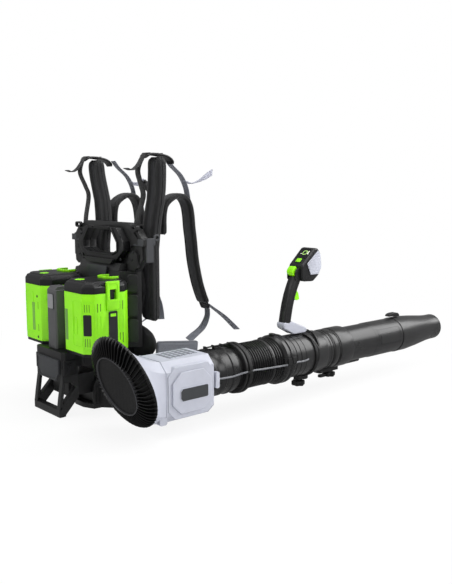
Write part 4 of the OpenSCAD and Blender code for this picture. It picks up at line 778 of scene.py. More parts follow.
fitted("hose_front_band_skin", [front_band], rubber_black, "hose_front_band", 0, 30, ["hose_front_band"])
cuff = wall([(63.2, 428), (66, 429), (66, 434), (63.6, 437), (63.6, 442), (62, 443), (62, 445), (63.6, 446),
             (63.6, 460), (62, 461), (62, 463), (63.6, 464), (63.6, 480), (62.6, 481), (62.6, 483),
             (63.6, 484), (63.6, 578), (62.4, 582)], 59.3, 96)
fitted("cuff_skin", [cuff], tube_black, "hose_front_band", 0, 30)
bosses = []
for turn, y in ((0.1, 402), (1.57, 402), (0.1, 420), (2.4, 402)):
    out = np.array((math.cos(turn), 0, math.sin(turn)))
    bosses.append(slab(oval(20, 16, 20, 0.6), (axis_x, y, axis_z) + 71 * out, (-out[2], 0, out[0]),
                       (0, 1, 0), -6))
fitted("band_bosses", bosses, band_black, "hose_front_band", 0.0012)

# ---- Control cable ----
# One grey sheathed cable runs from the housing to the handle. It is clipped to the hose bands and
# passes through the hoop.
cable_grey = moulding("cable_grey", (0.16, 0.165, 0.18), 0.45)


def cable(name, points, node, replaces, radius=2.6, material=cable_grey):
    """Round cable along a smooth curve, in millimetres."""
    points = np.asarray(points, float)
    t = np.linspace(0, len(points) - 1, 16 * (len(points) - 1) + 1)
    smooth = np.column_stack([np.interp(t, range(len(points)), points[:, i]) for i in range(3)])
    for _ in range(10):
        smooth[1:-1] = 0.25 * smooth[:-2] + 0.5 * smooth[1:-1] + 0.25 * smooth[2:]
    ahead = unit(np.gradient(smooth, axis=0))
    side = unit(np.cross(ahead, (0, 0, 1)))
    turn = np.linspace(0, 2 * np.pi, 10, endpoint=False)[None, :, None]
    rings = smooth[:, None] + radius * (np.cos(turn) * side[:, None]
                                        + np.sin(turn) * np.cross(side, ahead)[:, None])
    return fitted(name, [capped(rings)], material, node, 0, 60, replaces)


cable("cable_at_collar", [(400, 128, 127), (398, 150, 124), (397, 190, 122), (399, 225, 126),
                          (403, 240, 128)], "cable_rear", ["cable_rear"])
bent(cable("cable_at_rear_hose", [(401, 258, 128), (398, 275, 127), (397, 310, 124), (398, 351, 123)],
           "hose_rear", []), "pack", "hose_mid", 300, 343)
bent(cable("cable_at_front_hose", [(398, 351, 123), (398, 370, 122), (400, 386, 122), (403, 394, 123)],
           "hose_front", []), "hose_mid", "tube", 367, 410)
cable("cable_at_cuff", [(404, 426, 124), (400, 440, 124), (397.5, 456, 122), (397, 472, 122),
                        (396.5, 484, 123), (390, 496, 124)], "cable_front", ["cable_front"])
fitted("cable_guides", [slab(rect(9, 8, 1.5), (401.5, y, 126), (0, 1, 0), (0, 0, 1), 5)
                        for y in (244, 252)], band_black, "hose_rear_band", 0.0008)

# ---- Rear tube, lock ring and main pipe ----
# Smooth black tubes that slide in each other. A ring with two grooves, painted dark as shade, holds the
# lock, whose knob presses a pawl into the toothed rack under the pipe.
trimmed("rear_tube", tube_black, 0)
lock_ring = wall([(59.4, 598), (60.4, 599), (60.6, 606), (59.3, 607), (59.3, 615), (61, 616), (61.5, 618),
                  (61.5, 632), (61, 634), (59.6, 635), (59.6, 643), (62, 644), (62.6, 647), (62.6, 696),
                  (61.5, 702), (59.5, 703)], 59.15, 96)
fitted("lock_ring_skin", [lock_ring], tube_black, "pipe_lock_ring", 0, 30, ["pipe_lock_ring"])
# The grooves are painted shade: near-black matte bands where the ring dips in.
grooves = [turned([(60, y), (61.2, y + 0.4), (61.2, y + 7.6), (60, y + 8)], tube_middle, (0, 1, 0), 96)
           for y in (607, 635)]
fitted("lock_ring_grooves", grooves, shadow_black, "pipe_lock_ring", 0, 30)
channel = [top_plate(rect(26, 90, 3), (axis_x, 640, 52), 12)]
channel.append(top_plate(oval(26, 26, 24, 1.0), (axis_x, 653, 44), 9))
fitted("lock_channel", channel, band_black, "pipe_lock_ring", 0.001)


def lobed(x, y, z, radius, height, lobes=6, dent=0.12):
    """Hand knob: r = R (1 - d + d cos(n t)) with a rounded rim, hanging down from its top."""
    turn = np.linspace(0, 2 * np.pi, 72, endpoint=False)
    wave = radius * (1 - dent + dent * np.cos(lobes * turn))
    rows = []
    for share, drop in ((0.80, 0), (0.97, 0.07), (1.0, 0.25), (1.0, 0.7), (0.93, 0.93), (0.72, 1.0),
                        (0.30, 0.94), (0.05, 0.94)):
        rows.append(np.column_stack([x + share * wave * np.cos(turn), y + share * wave * np.sin(turn),
                                     np.full(72, z - height * drop)]))
    return capped(rows)


knob_black = moulding("knob_black", (0.0065, 0.0065, 0.007), 0.42)
lock_lever = top_plate(rect(14, 30, 3), (axis_x, 622, 36), 8)
fitted("lock_knob_skin", [lobed(axis_x, 653, 47.5, 21, 14), lock_lever], knob_black, "pipe_lock_knob", 0.0008,
       replaces=["pipe_lock_knob"])
pipe = wall([(55.5, 571), (55.5, 818), (56.6, 824), (57, 827), (57, 962), (53.5, 964), (53.5, 1004)], 52.5,
            96)
fitted("main_pipe_skin", [pipe], tube_black, "main_pipe", 0, 30, ["main_pipe"])
rack = [top_plate(rect(12, 70, 1), (axis_x, 761, 62.5), 8)]
rack += [top_plate(rect(9, 4.6, 0.8), (axis_x, 730 + 7.6 * k, 60.6), 3) for k in range(9)]
fitted("pipe_rack", rack, tube_black, "main_pipe", 0.0006)


def on_pipe(station, height, radius, out=0.0):
    """Point on the right side of the pipe at a station and a height over its axis."""
    reach = np.sqrt(radius ** 2 - np.asarray(height, float) ** 2)
    return np.stack(np.broadcast_arrays(axis_x + reach * (1 + out / radius), station,
                                        axis_z + height * (1 + out / radius)), -1)


def raised_frame(y0, y1, low, high, radius, wide=2.4, out=0.9):
    """Raised rectangle frame that follows the side of the pipe, in four bars."""
    shapes = []
    for a, b, c, d in ((y0, y1, low, low + wide), (y0, y1, high - wide, high),
                       (y0, y0 + wide, low + wide, high - wide), (y1 - wide, y1, low + wide, high - wide)):
        y, z = np.linspace(a, b, 2), np.linspace(c, d, 9)
        grid = np.concatenate([on_pipe(y[:, None], z[None, :], radius, lift) for lift in (out, -0.5)], 1)
        points, faces = looped(list(grid))
        shapes.append((points, faces[:len(faces) // 2]))
    return shapes


def side_panel(y0, y1, low, high, radius, out):
    """Plate that follows the side of the pipe, open underneath."""
    grid = on_pipe(np.array([y0, y1])[:, None], np.linspace(low, high, 17)[None, :], radius, out)
    foot = on_pipe(np.array([y0 - 0.6, y1 + 0.6])[:, None], np.linspace(low - 0.6, high + 0.6, 17)[None, :],
                   radius, -0.3)
    points = np.vstack([grid.reshape(-1, 3), foot.reshape(-1, 3)])
    faces = [[i, i + 1, 18 + i, 17 + i] for i in range(16)]
    loop = list(range(17)) + list(range(33, 16, -1))
    faces += [[loop[i], loop[(i + 1) % 34], 34 + loop[(i + 1) % 34], 34 + loop[i]] for i in range(34)]
    return points, faces


fitted("pipe_panel", raised_frame(836, 952, -14, 40, 57) + [side_panel(846, 940, -7, 24, 57, 1.0)],
       tube_black, "main_pipe", 0, 30)

# ---- Nozzle ----
# A tapered black nylon moulding that turns onto the pipe's neck. A rocking latch on top of the
# pipe holds it, and a groove painted with shade shows where the two meet.
nozzle = wall([(55, 965), (58.5, 965.3), (58.8, 968), (58.5, 975), (58.5, 1018), (56.5, 1040), (53.5, 1075),
               (49, 1115), (45.6, 1145), (44.2, 1165), (43.6, 1185), (43.6, 1203), (43.0, 1206),
               (41.6, 1207)], [(41, 1200), (41, 1150), (46, 1110), (53, 1030), (54.5, 970)], 96)
fitted("nozzle_skin", [nozzle], tube_black, "nozzle", 0, 30, ["nozzle"])
# The groove is painted shade: a near-black band where the nozzle meets the pipe.
groove = turned([(56.8, 962.4), (57.5, 962.6), (57.5, 965), (56.8, 965.2)], tube_middle, (0, 1, 0), 96)
fitted("nozzle_groove", [groove], shadow_black, "main_pipe", 0, 30)
top = [(946, 189.5), (966, 188.8), (985, 186), (1003, 186), (1003, 191), (996, 197.5), (985, 200),
       (962, 200), (950, 197), (946, 193.5)]
fitted("nozzle_latch_skin", [side_plate(top, 321.5, 19)], band_black, "nozzle_latch",
       0.0025, replaces=["nozzle_latch"])

# ---- Control handle ----
# A ring slides on the tube's cuff and carries a pale bracket with a black grip. The head on top
# has a sloping face with display and power button, pale side covers and a thumb lever.
handle_black = moulding("handle_black", (0.011, 0.011, 0.012), 0.36)
clamp_ring = wall([(64.9, 519), (67.5, 519.6), (68.5, 521.5), (68.5, 529.5), (67.5, 531.4), (64.9, 532)],
                  64.7)
fitted("handle_clamp_ring", [clamp_ring], band_black, "handle_clamp", 0, 30, ["handle_clamp"])


def side_arm(high, low, y_high, y_low, wide=7, inner=65, outer=69.5):
    """Curved arm down the right side of the tube: p = axis + r (cos a, sin a), from one angle to another."""
    rows = []
    for a, y in zip(np.radians(np.linspace(high, low, 20)), np.linspace(y_high, y_low, 20)):
        rows.append([(axis_x + r * math.cos(a), y + w, axis_z + r * math.sin(a))
                     for r, w in ((inner, -wide / 2), (outer, -wide / 2), (outer, wide / 2),
                                  (inner, wide / 2))])
    return capped([np.array(row) for row in rows])


foot = [(500, 186), (506, 199), (540, 199), (553, 192), (556, 186), (548, 180), (510, 180)]
arms = [side_plate(foot, 317, 28), side_arm(74, -12, 550, 528, 6), side_arm(74, 20, 512, 534, 6)]
arms.append(top_plate(rect(24, 44, 3), (axis_x, 525, 61), -14))
arms.append(top_plate(rect(16, 16, 2), (axis_x, 539, 56), -12))
fitted("handle_clamp_arms", arms, band_black, "handle_clamp", 0.0012)
fitted("handle_knob_skin", [lobed(axis_x, 514, 44.2, 21, 16)], knob_black, "handle_knob", 0.0008,
       replaces=["handle_knob"])

wedge = [(436, 231), (434, 223), (437, 213), (462, 200), (478, 191.5), (528, 191), (535, 198), (529, 207),
         (490, 223), (472, 231)]
fitted("bracket_skin", [side_plate(wedge, 315, 32)], pale, "handle_bracket", 0.004, 15, ["handle_bracket"])
trimmed("grip", handle_black, 0)
ridge = [(452, 231), (456.5, 253), (462.5, 281), (470.5, 307), (480.5, 331), (489, 349)]
cable("grip_ridge", [(341, y - 10.5, z) for y, z in ridge], "grip", [], 4.6, handle_black)
cable("grip_seam", [(346.6, y + 4, z) for y, z in ridge], "grip", [], 0.9, handle_black)

# The head's shell is a faceted black moulding with well rounded edges. Two cheeks and a floor
# hold the pivot of the lime thumb lever.
shell = [(496, 355), (505, 347.3), (545, 345.3), (568, 362.3), (580, 382.3), (575, 427.3), (563, 443.3),
         (549, 443.3), (501, 399.3), (496, 394)]
fitted("head_skin", [side_plate(shell, 303, 56)], handle_black, "head_shell", 0.005, 15, ["head_shell"])
cheek = [(478, 356), (482, 352), (497, 352), (497, 388), (484, 386), (478, 378)]
cheeks = [side_plate(cheek, x, 4) for x in (313.4, 344.6)]
cheeks.append(side_plate([(480, 352), (497, 352), (497, 358), (480, 358)], 314, 34))
fitted("head_cheeks", cheeks, handle_black, "head_shell", 0.0015)
trimmed("head_covers", pale, 0.0012)

face_slope = math.radians(42.5)
up_face = np.array((0, math.cos(face_slope), math.sin(face_slope)))
out_face = np.cross((1, 0, 0), up_face)
low_edge = np.array((axis_x, 501, 399.3))


def on_face(outline, x, along, thick, line=0.0, out=0.0):
    """Plate or raised line on the head's sloping face."""
    origin = low_edge + (x, 0, 0) + along * up_face + out * out_face
    if line:
        return band(outline, origin, (1, 0, 0), up_face, line, thick)
    return slab(outline, origin, (1, 0, 0), up_face, thick)


glossy_black = moulding("glossy_black", (0.004, 0.004, 0.005), 0.12)
glass_top = 1.1
fitted("head_bezel", [on_face(rect(46, 40, 6), 0, 42, 1.5, 2.4)], handle_black, "head_shell", 0.0005)
fitted("button_bezel", [on_face(rect(24, 20, 3), 0, 12, 1.2, 2)], handle_black, "head_shell", 0.0005)
fitted("display_glass", [on_face(rect(39, 33, 4), 0, 42, glass_top)], glossy_black, "display", 0.0003,
       replaces=["display"])


def lit(name, colour, strength):
    """Material of a lit segment in the display."""
    material = moulding(name, colour, 0.3)
    shader = material.node_tree.nodes["Principled BSDF"]
    shader.inputs["Emission Color"].default_value = (*colour, 1)
    shader.inputs["Emission Strength"].default_value = strength
    return material


fitted("display_ring", [on_face(oval(17, 17, 24, 0.8), 3.5, 44, 0.4, 2.4, glass_top)],
       lit("lit_green", (0.35, 0.62, 0.16), 0.5), "display", 0)
fitted("display_marks", [on_face(rect(3, 13), 16, 45, 0.4, out=glass_top),
                         on_face(rect(3, 3), -9, 39, 0.4, out=glass_top)],
       lit("lit_white", (0.8, 0.85, 0.7), 0.55), "display", 0)
trimmed("power_button", lime, 0.0012)
lever = [(479.8, 365), (485, 361), (490.5, 364.5), (492, 372), (490, 386), (487, 392.5), (481, 393),
         (473, 385), (469.5, 377), (472, 370)]
fitted("cruise_lever_skin", [side_plate(lever, 318.6, 24.8)], lime, "cruise_lever", 0.003, 15,
       ["cruise_lever"])
trimmed("throttle_trigger", lime, 0.0015)

# ---- Upright pads ----
# Two long foam pads run up beside the frame. Each is cut foam sewn into black cloth, with a
# lighter spacer-mesh channel down the middle, a row of stitches on each side and piped edges.


def weave_group():
    """Plain weave: over and under threads as height, with a fuzz that makes the threads uneven. The colour
    darkens where the threads dip, as painted shade between them.
    """
    group, given, made = shader_group(
        "Plain weave", {"Colour": (0.5, 0.5, 0.5, 1), "Threads per metre": 700.0, "Contrast": 0.3},
        {"Colour": (0, 0, 0, 1), "Height": 0.0})
    where = group.nodes.new("ShaderNodeUVMap")
    where.uv_map = "cloth"
    apart = shader_node(group, "SeparateXYZ", Vector=where.outputs["UV"])
    waves = []
    for axis in ("X", "Y"):
        turns = worked(group, "MULTIPLY", apart.outputs[axis], given["Threads per metre"])
        waves.append(worked(group, "SINE", worked(group, "MULTIPLY", turns, math.pi)))
    over = worked(group, "GREATER_THAN", worked(group, "MULTIPLY", *waves), 0.0)
    warp, weft = (worked(group, "ABSOLUTE", wave) for wave in waves)
    height = worked(group, "ADD", worked(group, "MULTIPLY", over, warp),
                    worked(group, "MULTIPLY", worked(group, "SUBTRACT", 1.0, over), weft))
    fuzz = shader_node(group, "TexNoise", Vector=shader_node(group, "TexCoord").outputs["Object"], Scale=90,
                       Detail=5)
    # The tone follows the thread height, painted shade in the dips, plus the random fuzz.
    shade = worked(group, "MULTIPLY_ADD", height, 0.7, worked(group, "MULTIPLY", fuzz.outputs["Fac"], 0.6))
    value = worked(group, "MULTIPLY_ADD", worked(group, "SUBTRACT", shade, 0.75), given["Contrast"], 1.0)
    tone = shader_node(group, "HueSaturation", Value=value, Color=given["Colour"])
    group.links.new(tone.outputs["Color"], made["Colour"])
    group.links.new(height, made["Height"])
    return group


plain_weave = weave_group()


def cloth(name, colour, threads=700.0, contrast=0.5, depth=0.0003):
    """Material of woven cloth or webbing. Sheen is the light that its fibres catch edge on."""
    return surfaced(name, plain_weave, depth, {"Colour": (*colour, 1), "Threads per metre": threads,
                                               "Contrast": contrast},
                    {"Roughness": 0.85, "Specular IOR Level": 0.25, "Sheen Weight": 0.2})


def curve_through(points, count):
    """Points evenly spaced along the Catmull-Rom curve through the given ones. Between b and c it is half of
    2b + (c - a) t + (2a - 5b + 4c - d) t^2 + (3b - a - 3c + d) t^3."""
    p = np.asarray(points, float)
    p = np.vstack([2 * p[0] - p[1], p, 2 * p[-1] - p[-2]])
    t = np.linspace(0, 1, 40, endpoint=False)[:, None, None]
    a, b, c, d = p[:-3], p[1:-2], p[2:-1], p[3:]
    dense = 0.5 * (2 * b + (c - a) * t + (2 * a - 5 * b + 4 * c - d) * t ** 2
                   + (3 * b - a - 3 * c + d) * t ** 3)
    dense = np.vstack([dense.transpose(1, 0, 2).reshape(-1, p.shape[1]), p[-2]])
    run = np.r_[0, np.cumsum(np.linalg.norm(np.diff(dense, axis=0), axis=1))]
    even = np.linspace(0, run[-1], count)
    return np.column_stack([np.interp(even, run, dense[:, i]) for i in range(p.shape[1])])


def in_plane(x, points, count):
    """Curve through (y, z) points, in millimetres, at one distance x from the centre plane."""
    return np.column_stack([np.full(count, x), curve_through(points, count)])


def directions(path, across):
    """Unit vectors across a path and out of its face."""
    ahead = unit(np.gradient(path, axis=0))
    side = np.broadcast_to(np.asarray(across, float), path.shape)
    side = unit(side - ahead * (side * ahead).sum(1, keepdims=True))
    return side, np.cross(ahead, side)


def carried(path, across, section, grow=((1.0, 1.0),)):
    """Grid of a section carried along a path. Point = path + side * s0 * grow0 + out * s1 * grow1, where side
    runs across the strap and out stands on its face."""
    side, out = directions(path, across)
    grow = np.broadcast_to(grow, (len(path), 2))
    return (path[:, None] + side[:, None] * section[None, :, :1] * grow[:, None, :1]
            + out[:, None] * section[None, :, 1:] * grow[:, None, 1:])


def skin(name, grids, materials, node, shade=60, stripe=None, replaces=()):
    """Object of closed grids, in millimetres, whose rows run along and whose columns run around. Its UV map
    is in metres, and stripe gives the number of the material for each column of faces."""
    points, faces, uvs, picked = [], [], [], []
    for grid in grids:
        rows, cols = grid.shape[:2]
        first = sum(len(p) for p in points)
        r, c = (index.reshape(-1) for index in np.meshgrid(np.arange(rows - 1), np.arange(cols),
                                                           indexing="ij"))
        turn = (c + 1) % cols
        quads = np.stack([r * cols + c, r * cols + turn, (r + 1) * cols + turn, (r + 1) * cols + c], -1)
        along = np.r_[0, np.cumsum(np.linalg.norm(np.diff(grid.mean(1), axis=0), axis=1))]
        ring = np.concatenate([grid, grid[:, :1]], 1)
        girth = np.r_[0, np.cumsum(np.linalg.norm(np.diff(ring, axis=1), axis=2).mean(0))]
        uv = np.stack([np.stack([girth[c + i], along[r + j]], -1)
                       for i, j in ((0, 0), (1, 0), (1, 1), (0, 1))], 1)
        flat = grid.reshape(-1, 3)
        points.append(flat)
        faces += (quads + first).tolist()
        faces += [list(range(first, first + cols))[::-1],
                  list(range(first + (rows - 1) * cols, first + rows * cols))]
        uvs += [uv.reshape(-1, 2) * 0.001, np.zeros((2 * cols, 2))]
        picked += [np.broadcast_to(0 if stripe is None else stripe, (rows - 1, cols)).reshape(-1),
                   np.zeros(2, int)]
    mesh = bpy.data.meshes.new(name)
    mesh.from_pydata((np.vstack(points) * 0.001).tolist(), [], faces)
    mesh.uv_layers.new(name="cloth").data.foreach_set("uv", np.vstack(uvs).astype(np.float32).ravel())
    worked_over(mesh, outward)
    piece = edged(hung(name, mesh, materials[0], node, replaces), 0, shade)
    for material in materials[1:]:
        mesh.materials.append(material)
    mesh.polygons.foreach_set("material_index", np.concatenate(picked).astype(np.int32))
    return piece


def pad_section(width, thick, count, grooves=(), press=0.25, groove=0.07):
    """Flat oval, x = w/2 cos^0.3, y = t/2 sin^0.42, whose two faces are pressed in along the grooves, given
    as shares of the half width."""
    x, y = oval(2, 2, count, 0.3, 0.42, shift=0.5).T
    dent = sum((np.exp(-(((x - place) / groove) ** 2)) for place in grooves), np.zeros(count))
    return np.column_stack([x * width / 2, y * thick / 2 * (1 - press * dent)])


def drawn_in(count, share, least=0.3):
    """Factor that draws a pad in at both ends as a quarter circle over a share of its length."""
    near = np.clip(np.minimum(np.linspace(0, 1, count), np.linspace(1, 0, count)) / share, 0, 1)
    return least + (1 - least) * np.sqrt(1 - (1 - near) ** 2)


def stitches(name, lines, outs, material, node, length=4.2, space=2.6, wide=0.6):
    """Rows of stitches in millimetres. Each stitch is an eight-sided lozenge laid along its line."""
    shape = np.array([(-0.5, 0, 0), (0.5, 0, 0), (0, 1, 0), (0, -1, 0), (0, 0, 1), (0, 0, -1)], float)
    shape *= (length, wide, wide)
    corners = np.array([(0, 2, 4), (2, 1, 4), (1, 3, 4), (3, 0, 4), (2, 0, 5), (1, 2, 5), (3, 1, 5),
                        (0, 3, 5)])
    points = []
    for line, out in zip(lines, outs):
        run = np.r_[0, np.cumsum(np.linalg.norm(np.diff(line, axis=0), axis=1))]
        at = np.arange(length, run[-1] - length, length + space)
        place, later, up = (np.column_stack([np.interp(where, run, table[:, i]) for i in range(3)])
                            for where, table in ((at, line), (at + 0.5, line), (at, out)))
        ahead = unit(later - place)
        side = np.cross(ahead, up)
        points.append(place[:, None] + shape[None, :, :1] * ahead[:, None]
                      + shape[None, :, 1:2] * side[:, None] + shape[None, :, 2:] * up[:, None])
    points = np.concatenate(points)
    faces = (corners[None] + 6 * np.arange(len(points))[:, None, None]).reshape(-1, 3)
    mesh = bpy.data.meshes.new(name)
    mesh.from_pydata((points.reshape(-1, 3) * 0.001).tolist(), [], faces.tolist())
    return hung(name, mesh, material, node)


def sewn_pad(name, line, section, grow, node, seams, channel, replaces=(), cord=1.7):
    """Foam pad in cloth along a line: the pad with its channel, piped edges and rows of stitches."""
    half = section[:, 0].max()
    middle = (section[:, 0] + np.roll(section[:, 0], -1)) / 2
    in_channel = (middle > channel[0] * half) & (middle < channel[1] * half)
    pad = skin(name, [carried(line, (1, 0, 0), section, grow)], [pad_cloth, channel_mesh], node,
               stripe=in_channel.astype(int), replaces=replaces)
    side, out = directions(line, (1, 0, 0))
    turn = np.linspace(0, 2 * np.pi, 8, endpoint=False)
    round_cord = cord * np.column_stack([np.cos(turn), np.sin(turn)])
    edges = [line + side * place * half * grow[:, :1] for place in (-0.985, 0.985)]
    skin(name + "_piping", [carried(edge, (1, 0, 0), round_cord) for edge in edges], [piping_cloth], node)
    quarter = section[: len(section) // 4][::-1]
    lines, outs = [], []
    for place in seams:
        depth = np.interp(abs(place) * half, quarter[:, 0], quarter[:, 1])
        for face in (-1, 1):
            lines.append((line + side * place * half * grow[:, :1] + out * face * depth * grow[:, 1:])[4:-4])
            outs.append(face * out[4:-4])
    stitches(name + "_stitches", lines, outs, seam_thread, node)


pad_cloth = cloth("pad_cloth", (0.017, 0.017, 0.018), threads=900)
channel_mesh = cloth("channel_mesh", (0.036, 0.037, 0.040), threads=330, contrast=0.9, depth=0.0006)
piping_cloth = cloth("piping_cloth", (0.009, 0.009, 0.010), threads=1200)
seam_thread = moulding("seam_thread", (0.040, 0.041, 0.045), 0.7)
heights = np.linspace(248, 704, 64)
rise = np.clip((heights - 500) / 190, 0, 1)
upright_x = 127 + 31 * rise ** 2 * (3 - 2 * rise)
upright_y = 118.6 + np.interp(heights, (450, 520, 583, 618, 653, 688), (0, 8, 12, 10, 7, 5))
upright_grow = np.column_stack([drawn_in(64, 0.04, 0.75) * np.interp(heights, (250, 560, 700),
                                                                     (1.0, 1.0, 0.96)),
                                drawn_in(64, 0.05, 0.4)])
upright_section = pad_section(58, 30, 64, grooves=(-0.4, 0.4), press=0.3, groove=0.08)
for side, name in ((1, "right"), (-1, "left")):
    line = np.column_stack([side * upright_x, upright_y, heights])
    sewn_pad(f"upright_pad_{name}", line, upright_section, upright_grow, "upright_pads",
             (-0.5, -0.3, 0.3, 0.5), (-0.4, 0.4), ["upright_pads"] if side > 0 else [])

# ---- Shoulder straps ----
# Curved foam straps leave the frame between the upright pads, arch over the shoulders and hang
# down in front. They are sewn like the uprights, with one seam off the middle.
strap_x = 126.0
strap_route = [(156, 490), (156, 512), (156, 530), (158, 552), (165, 573), (186, 590), (212, 599),
               (235, 592), (249, 573), (256, 545), (260, 505), (265, 470), (270, 425), (276, 390),
               (287, 345), (300, 308), (313, 279)]
strap_grow = np.column_stack([drawn_in(110, 0.02, 0.8), drawn_in(110, 0.02, 0.5)])
strap_section = pad_section(50, 13, 56, grooves=(-0.75, 0.1, 0.75), press=0.35, groove=0.07)
for side, name in ((1, "right"), (-1, "left")):
    line = in_plane(side * strap_x, strap_route, 110)
    sewn_pad(f"shoulder_strap_{name}", line, strap_section, strap_grow, "shoulder_straps",
             (-0.68, 0.04, 0.16, 0.68), (-0.72, 0.06), ["shoulder_straps"] if side > 0 else [], cord=1.2)

# ---- Webbing ----
# Flat straps woven of nylon and cut to length: grey load lifters with pale tails, grey lower straps
# sewn to the shoulder straps, and black straps that drop from the shoulder buckles to the frame.
web_grey = cloth("web_grey", (0.205, 0.215, 0.250), threads=620, contrast=0.45, depth=0.0005)
web_pale = cloth("web_pale", (0.50, 0.51, 0.60), threads=620, contrast=0.35, depth=0.0005)
web_black = cloth("web_black", (0.014, 0.014, 0.015), threads=620, contrast=0.5, depth=0.0005)
web_section = np.array([(-12, -0.6), (-11.4, -1), (0, -1.05), (11.4, -1), (12, -0.6), (12, 0.6), (11.4, 1),
                        (0, 1.05), (-11.4, 1), (-12, 0.6)])


def webbing(name, material, paths, replaces=()):
    """Webbing along paths of (x, y, z) points, each with the directions across its start and its end."""
    grids = []
    for path, first, last in paths:
        turned_in = np.clip(np.linspace(-0.3, 1.3, len(path)), 0, 1)[:, None]
        across = (1 - turned_in) * np.asarray(first, float) + turned_in * np.asarray(last, float)
        grids.append(carried(path, across, web_section))
    return skin(name, grids, [material], "webbing", replaces=replaces)


lifter = [(171, 702), (188, 682), (220, 655), (239, 622), (247, 587)]
lower = [(318, 262), (317, 236), (298, 206), (262, 184), (246, 174)]
right_tail = [(324, 274), (360, 250), (396, 224), (446, 180)]
left_tail = [(324, 274), (332, 250), (335, 224), (338, 190)]
level, turned_out, hanging = (1, 0, 0), (0.72, 0.69, 0), (0.5, -0.1, 0.86)
grey_paths = [(in_plane(side * 137, lifter, 60), level, level) for side in (1, -1)]
grey_paths += [(in_plane(137, lower, 60), level, turned_out),
               (in_plane(-137, lower, 60), level, (0.72, -0.69, 0)),
               (in_plane(128, right_tail, 60), level, (0.8, -0.3, 0.5)),
               (in_plane(-128, left_tail, 60), level, turned_out)]
webbing("webbing_grey", web_grey, grey_paths, ["webbing"])
right_end = [(229, 640), (260, 634), (296, 645), (339, 666)]
left_end = [(229, 640), (255, 634), (283, 640)]
pale_paths = [(in_plane(137, right_end, 60), level, hanging), (in_plane(-137, left_end, 60), level, hanging)]
webbing("webbing_pale", web_pale, pale_paths)
black_paths = []
for side in (1, -1):
    drop = in_plane(158, [(83, 713), (70, 690), (64, 663), (78, 626), (86, 596), (72, 540), (66, 508)], 60)
    drop[:, 0] += 0.1256 * (drop[:, 2] - 706)
    tail = in_plane(158, [(73, 696), (58, 678), (40, 668), (22, 672)], 60)
    black_paths += [(path * (side, 1, 1), level, level) for path in (drop, tail)]
webbing("webbing_black", web_black, black_paths)

# ---- Buckles ----
# Moulded ladder-lock buckles join the webs to the pads. They are rounded black acetal: a humped
# plate with a turned-down tongue on each shoulder pad and a barred frame at each strap end.
hump = [(78, 700), (84, 707), (96, 711), (115, 711), (140, 708), (158, 702), (168, 694), (171, 686)]
buckle_section = oval(40, 7, 28, 0.4)
hump_grow = np.column_stack([np.interp(np.linspace(0, 1, 40), (0, 0.08, 0.3, 0.7, 0.95, 1),
                                       (0.7, 0.92, 1, 0.95, 0.78, 0.7)),
                             np.interp(np.linspace(0, 1, 40), (0, 0.05, 0.95, 1), (0.4, 1, 1, 0.4))])
plates = [carried(in_plane(side * 158, hump, 40), (1, 0, 0), buckle_section, hump_grow) for side in (1, -1)]
skin("shoulder_buckles", plates, [black_satin], "strap_buckles", 40, replaces=["strap_buckles"])
locks = []
for side in (1, -1):
    down = (0, 0.41, -0.91)
    locks.append(band(oval(38, 26, 28, 0.35), (side * 126, 313, 271), (1, 0, 0), down, 4, 6))
    locks += [slab(rect(32, 4, 1), (side * 126, 313 + 0.41 * at, 270 - 0.91 * at), (1, 0, 0), down, 5)
              for at in (-4, 3)]
    locks.append(top_plate(rect(32, 5, 1), (side * 158, 90, 713), 2))
    locks += [top_plate(rect(32, 4, 1), (side * 158, y, 713), 1.6) for y in (104, 118, 132)]
    locks.append(slab(rect(15, 21, 3), (side * 90, 76, 506.5), thick=-73))
    locks.append(slab(rect(49, 21, 4), (side * 107.5, 145.5, 506.5), thick=-4))
# The chest strap's clip hangs from the left lifter: a hooded socket and its strap bar.
along, over = np.array((0, 0.574, -0.819)), np.array((0, 0.819, 0.574))
clip = np.array((-137, 283, 640)) + 22 * along
locks.append(slab(oval(28, 30, 28, 0.4), clip - 7 * along - 6 * over, (1, 0, 0), along, 12))
locks.append(slab(rect(16, 16, 2), clip + 13 * along - 4 * over, (1, 0, 0), along, 8))
locks.append(band(rect(30, 12, 2), clip - 22 * along - 3 * over, (1, 0, 0), along, 3, 6))
fitted("strap_locks", locks, black_satin, "strap_buckles", 0.0012)

# ---- Back pads, lumbar pad and hip belt ----
# Foam cushions in black cloth: two behind the upright pads and one across the small of the back.
# Each cover is sewn over its foam, which swells against it. The belt's wings are grey cloth.
cushion_cloth = moulding("cushion_cloth", (0.0105, 0.0105, 0.0115), 0.9, grains=1500, depth=0.0003)


def applied(piece):
    """Piece whose modifiers are made part of its mesh."""
    new = bpy.data.meshes.new_from_object(piece.evaluated_get(bpy.context.evaluated_depsgraph_get()))
    piece.modifiers.clear()
    piece.data = new


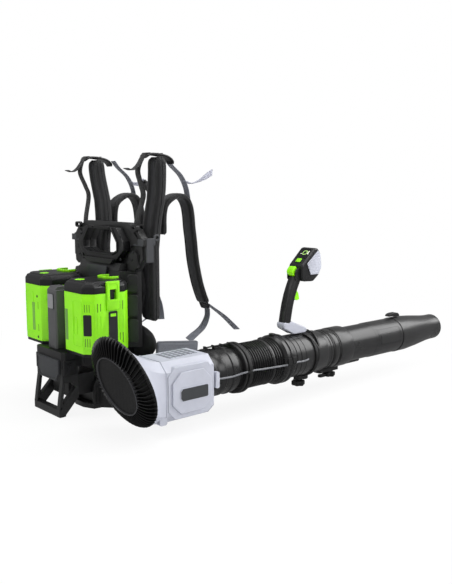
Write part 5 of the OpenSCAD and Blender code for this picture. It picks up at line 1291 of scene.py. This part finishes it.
def swollen(node, channels, cap=7, shrink=0.94):
    """Sewn cushion from a CAD cushion: drawn in, remeshed, blown up as cloth by at most cap millimetres, held
    to the box of the foam, and pressed in along its sewn channels, given as x in millimetres."""
    mesh = frame["nodes"][node].data.copy()
    mesh.materials.clear()
    piece = hung(node + "_cover", mesh, cushion_cloth, node, [node])
    corners = corners_of(mesh)
    halves = [np.ones(len(corners), bool)]
    if len(channels) > 2:
        halves = [np.sign(corners[:, 0]) == side for side in (-1, 1)]
    for half in halves:
        middle = (corners[half].max(0) + corners[half].min(0)) / 2
        corners[half] = middle + (corners[half] - middle) * (shrink, 0.86, shrink)
    low, high = corners.min(0) - 0.004, corners.max(0) + 0.004
    mesh.vertices.foreach_set("co", corners.ravel())
    remesh = piece.modifiers.new("remesh", "REMESH")
    remesh.mode, remesh.voxel_size = "VOXEL", 0.005
    bpy.context.view_layer.update()
    applied(piece)
    after = before = corners_of(piece.data)
    foam = piece.modifiers.new("foam", "CLOTH").settings
    foam.use_pressure = True
    foam.uniform_pressure_force = 4
    foam.effector_weights.gravity = 0
    for count in range(1, 21):
        bpy.context.scene.frame_set(count)
    applied(piece)
    step = corners_of(piece.data) - before
    far = np.linalg.norm(step, axis=1, keepdims=True)
    after = before + step * np.minimum(1, cap * 0.001 / np.maximum(far, 1e-9))
    bpy.context.scene.frame_set(1)
    after = np.clip(after, low, high)
    dent = sum(np.exp(-((after[:, 0] * 1000 - x) / 5) ** 2) for x in channels)
    middle = (low[1] + high[1]) / 2
    after[:, 1] = middle + (after[:, 1] - middle) * (1 - 0.22 * dent)
    piece.data.vertices.foreach_set("co", after.ravel())
    piece.data.polygons.foreach_set("use_smooth", np.ones(len(piece.data.polygons), bool))
    finer = piece.modifiers.new("finer", "SUBSURF")
    finer.levels = finer.render_levels = 1


swollen("back_pad", (-98, -52, 52, 98))
swollen("lumbar_pad", (-62, 62))
belt_cloth = cloth("belt_cloth", (0.20, 0.21, 0.24), threads=700, contrast=0.4)
belt_line = np.column_stack([np.zeros(40), np.linspace(123, 271, 40),
                             166 - 0.12 * (np.linspace(123, 271, 40) - 122)])
belt_section = pad_section(44, 11, 48, grooves=(-0.8, 0.8), press=0.35)
wings = [carried(belt_line + (side * 146, 0, 0), (0, 0, 1), belt_section,
                 np.column_stack([drawn_in(40, 0.06, 0.8), drawn_in(40, 0.04, 0.5)])) for side in (1, -1)]
skin("belt_wings", wings, [belt_cloth], "hip_belt", replaces=["hip_belt"])
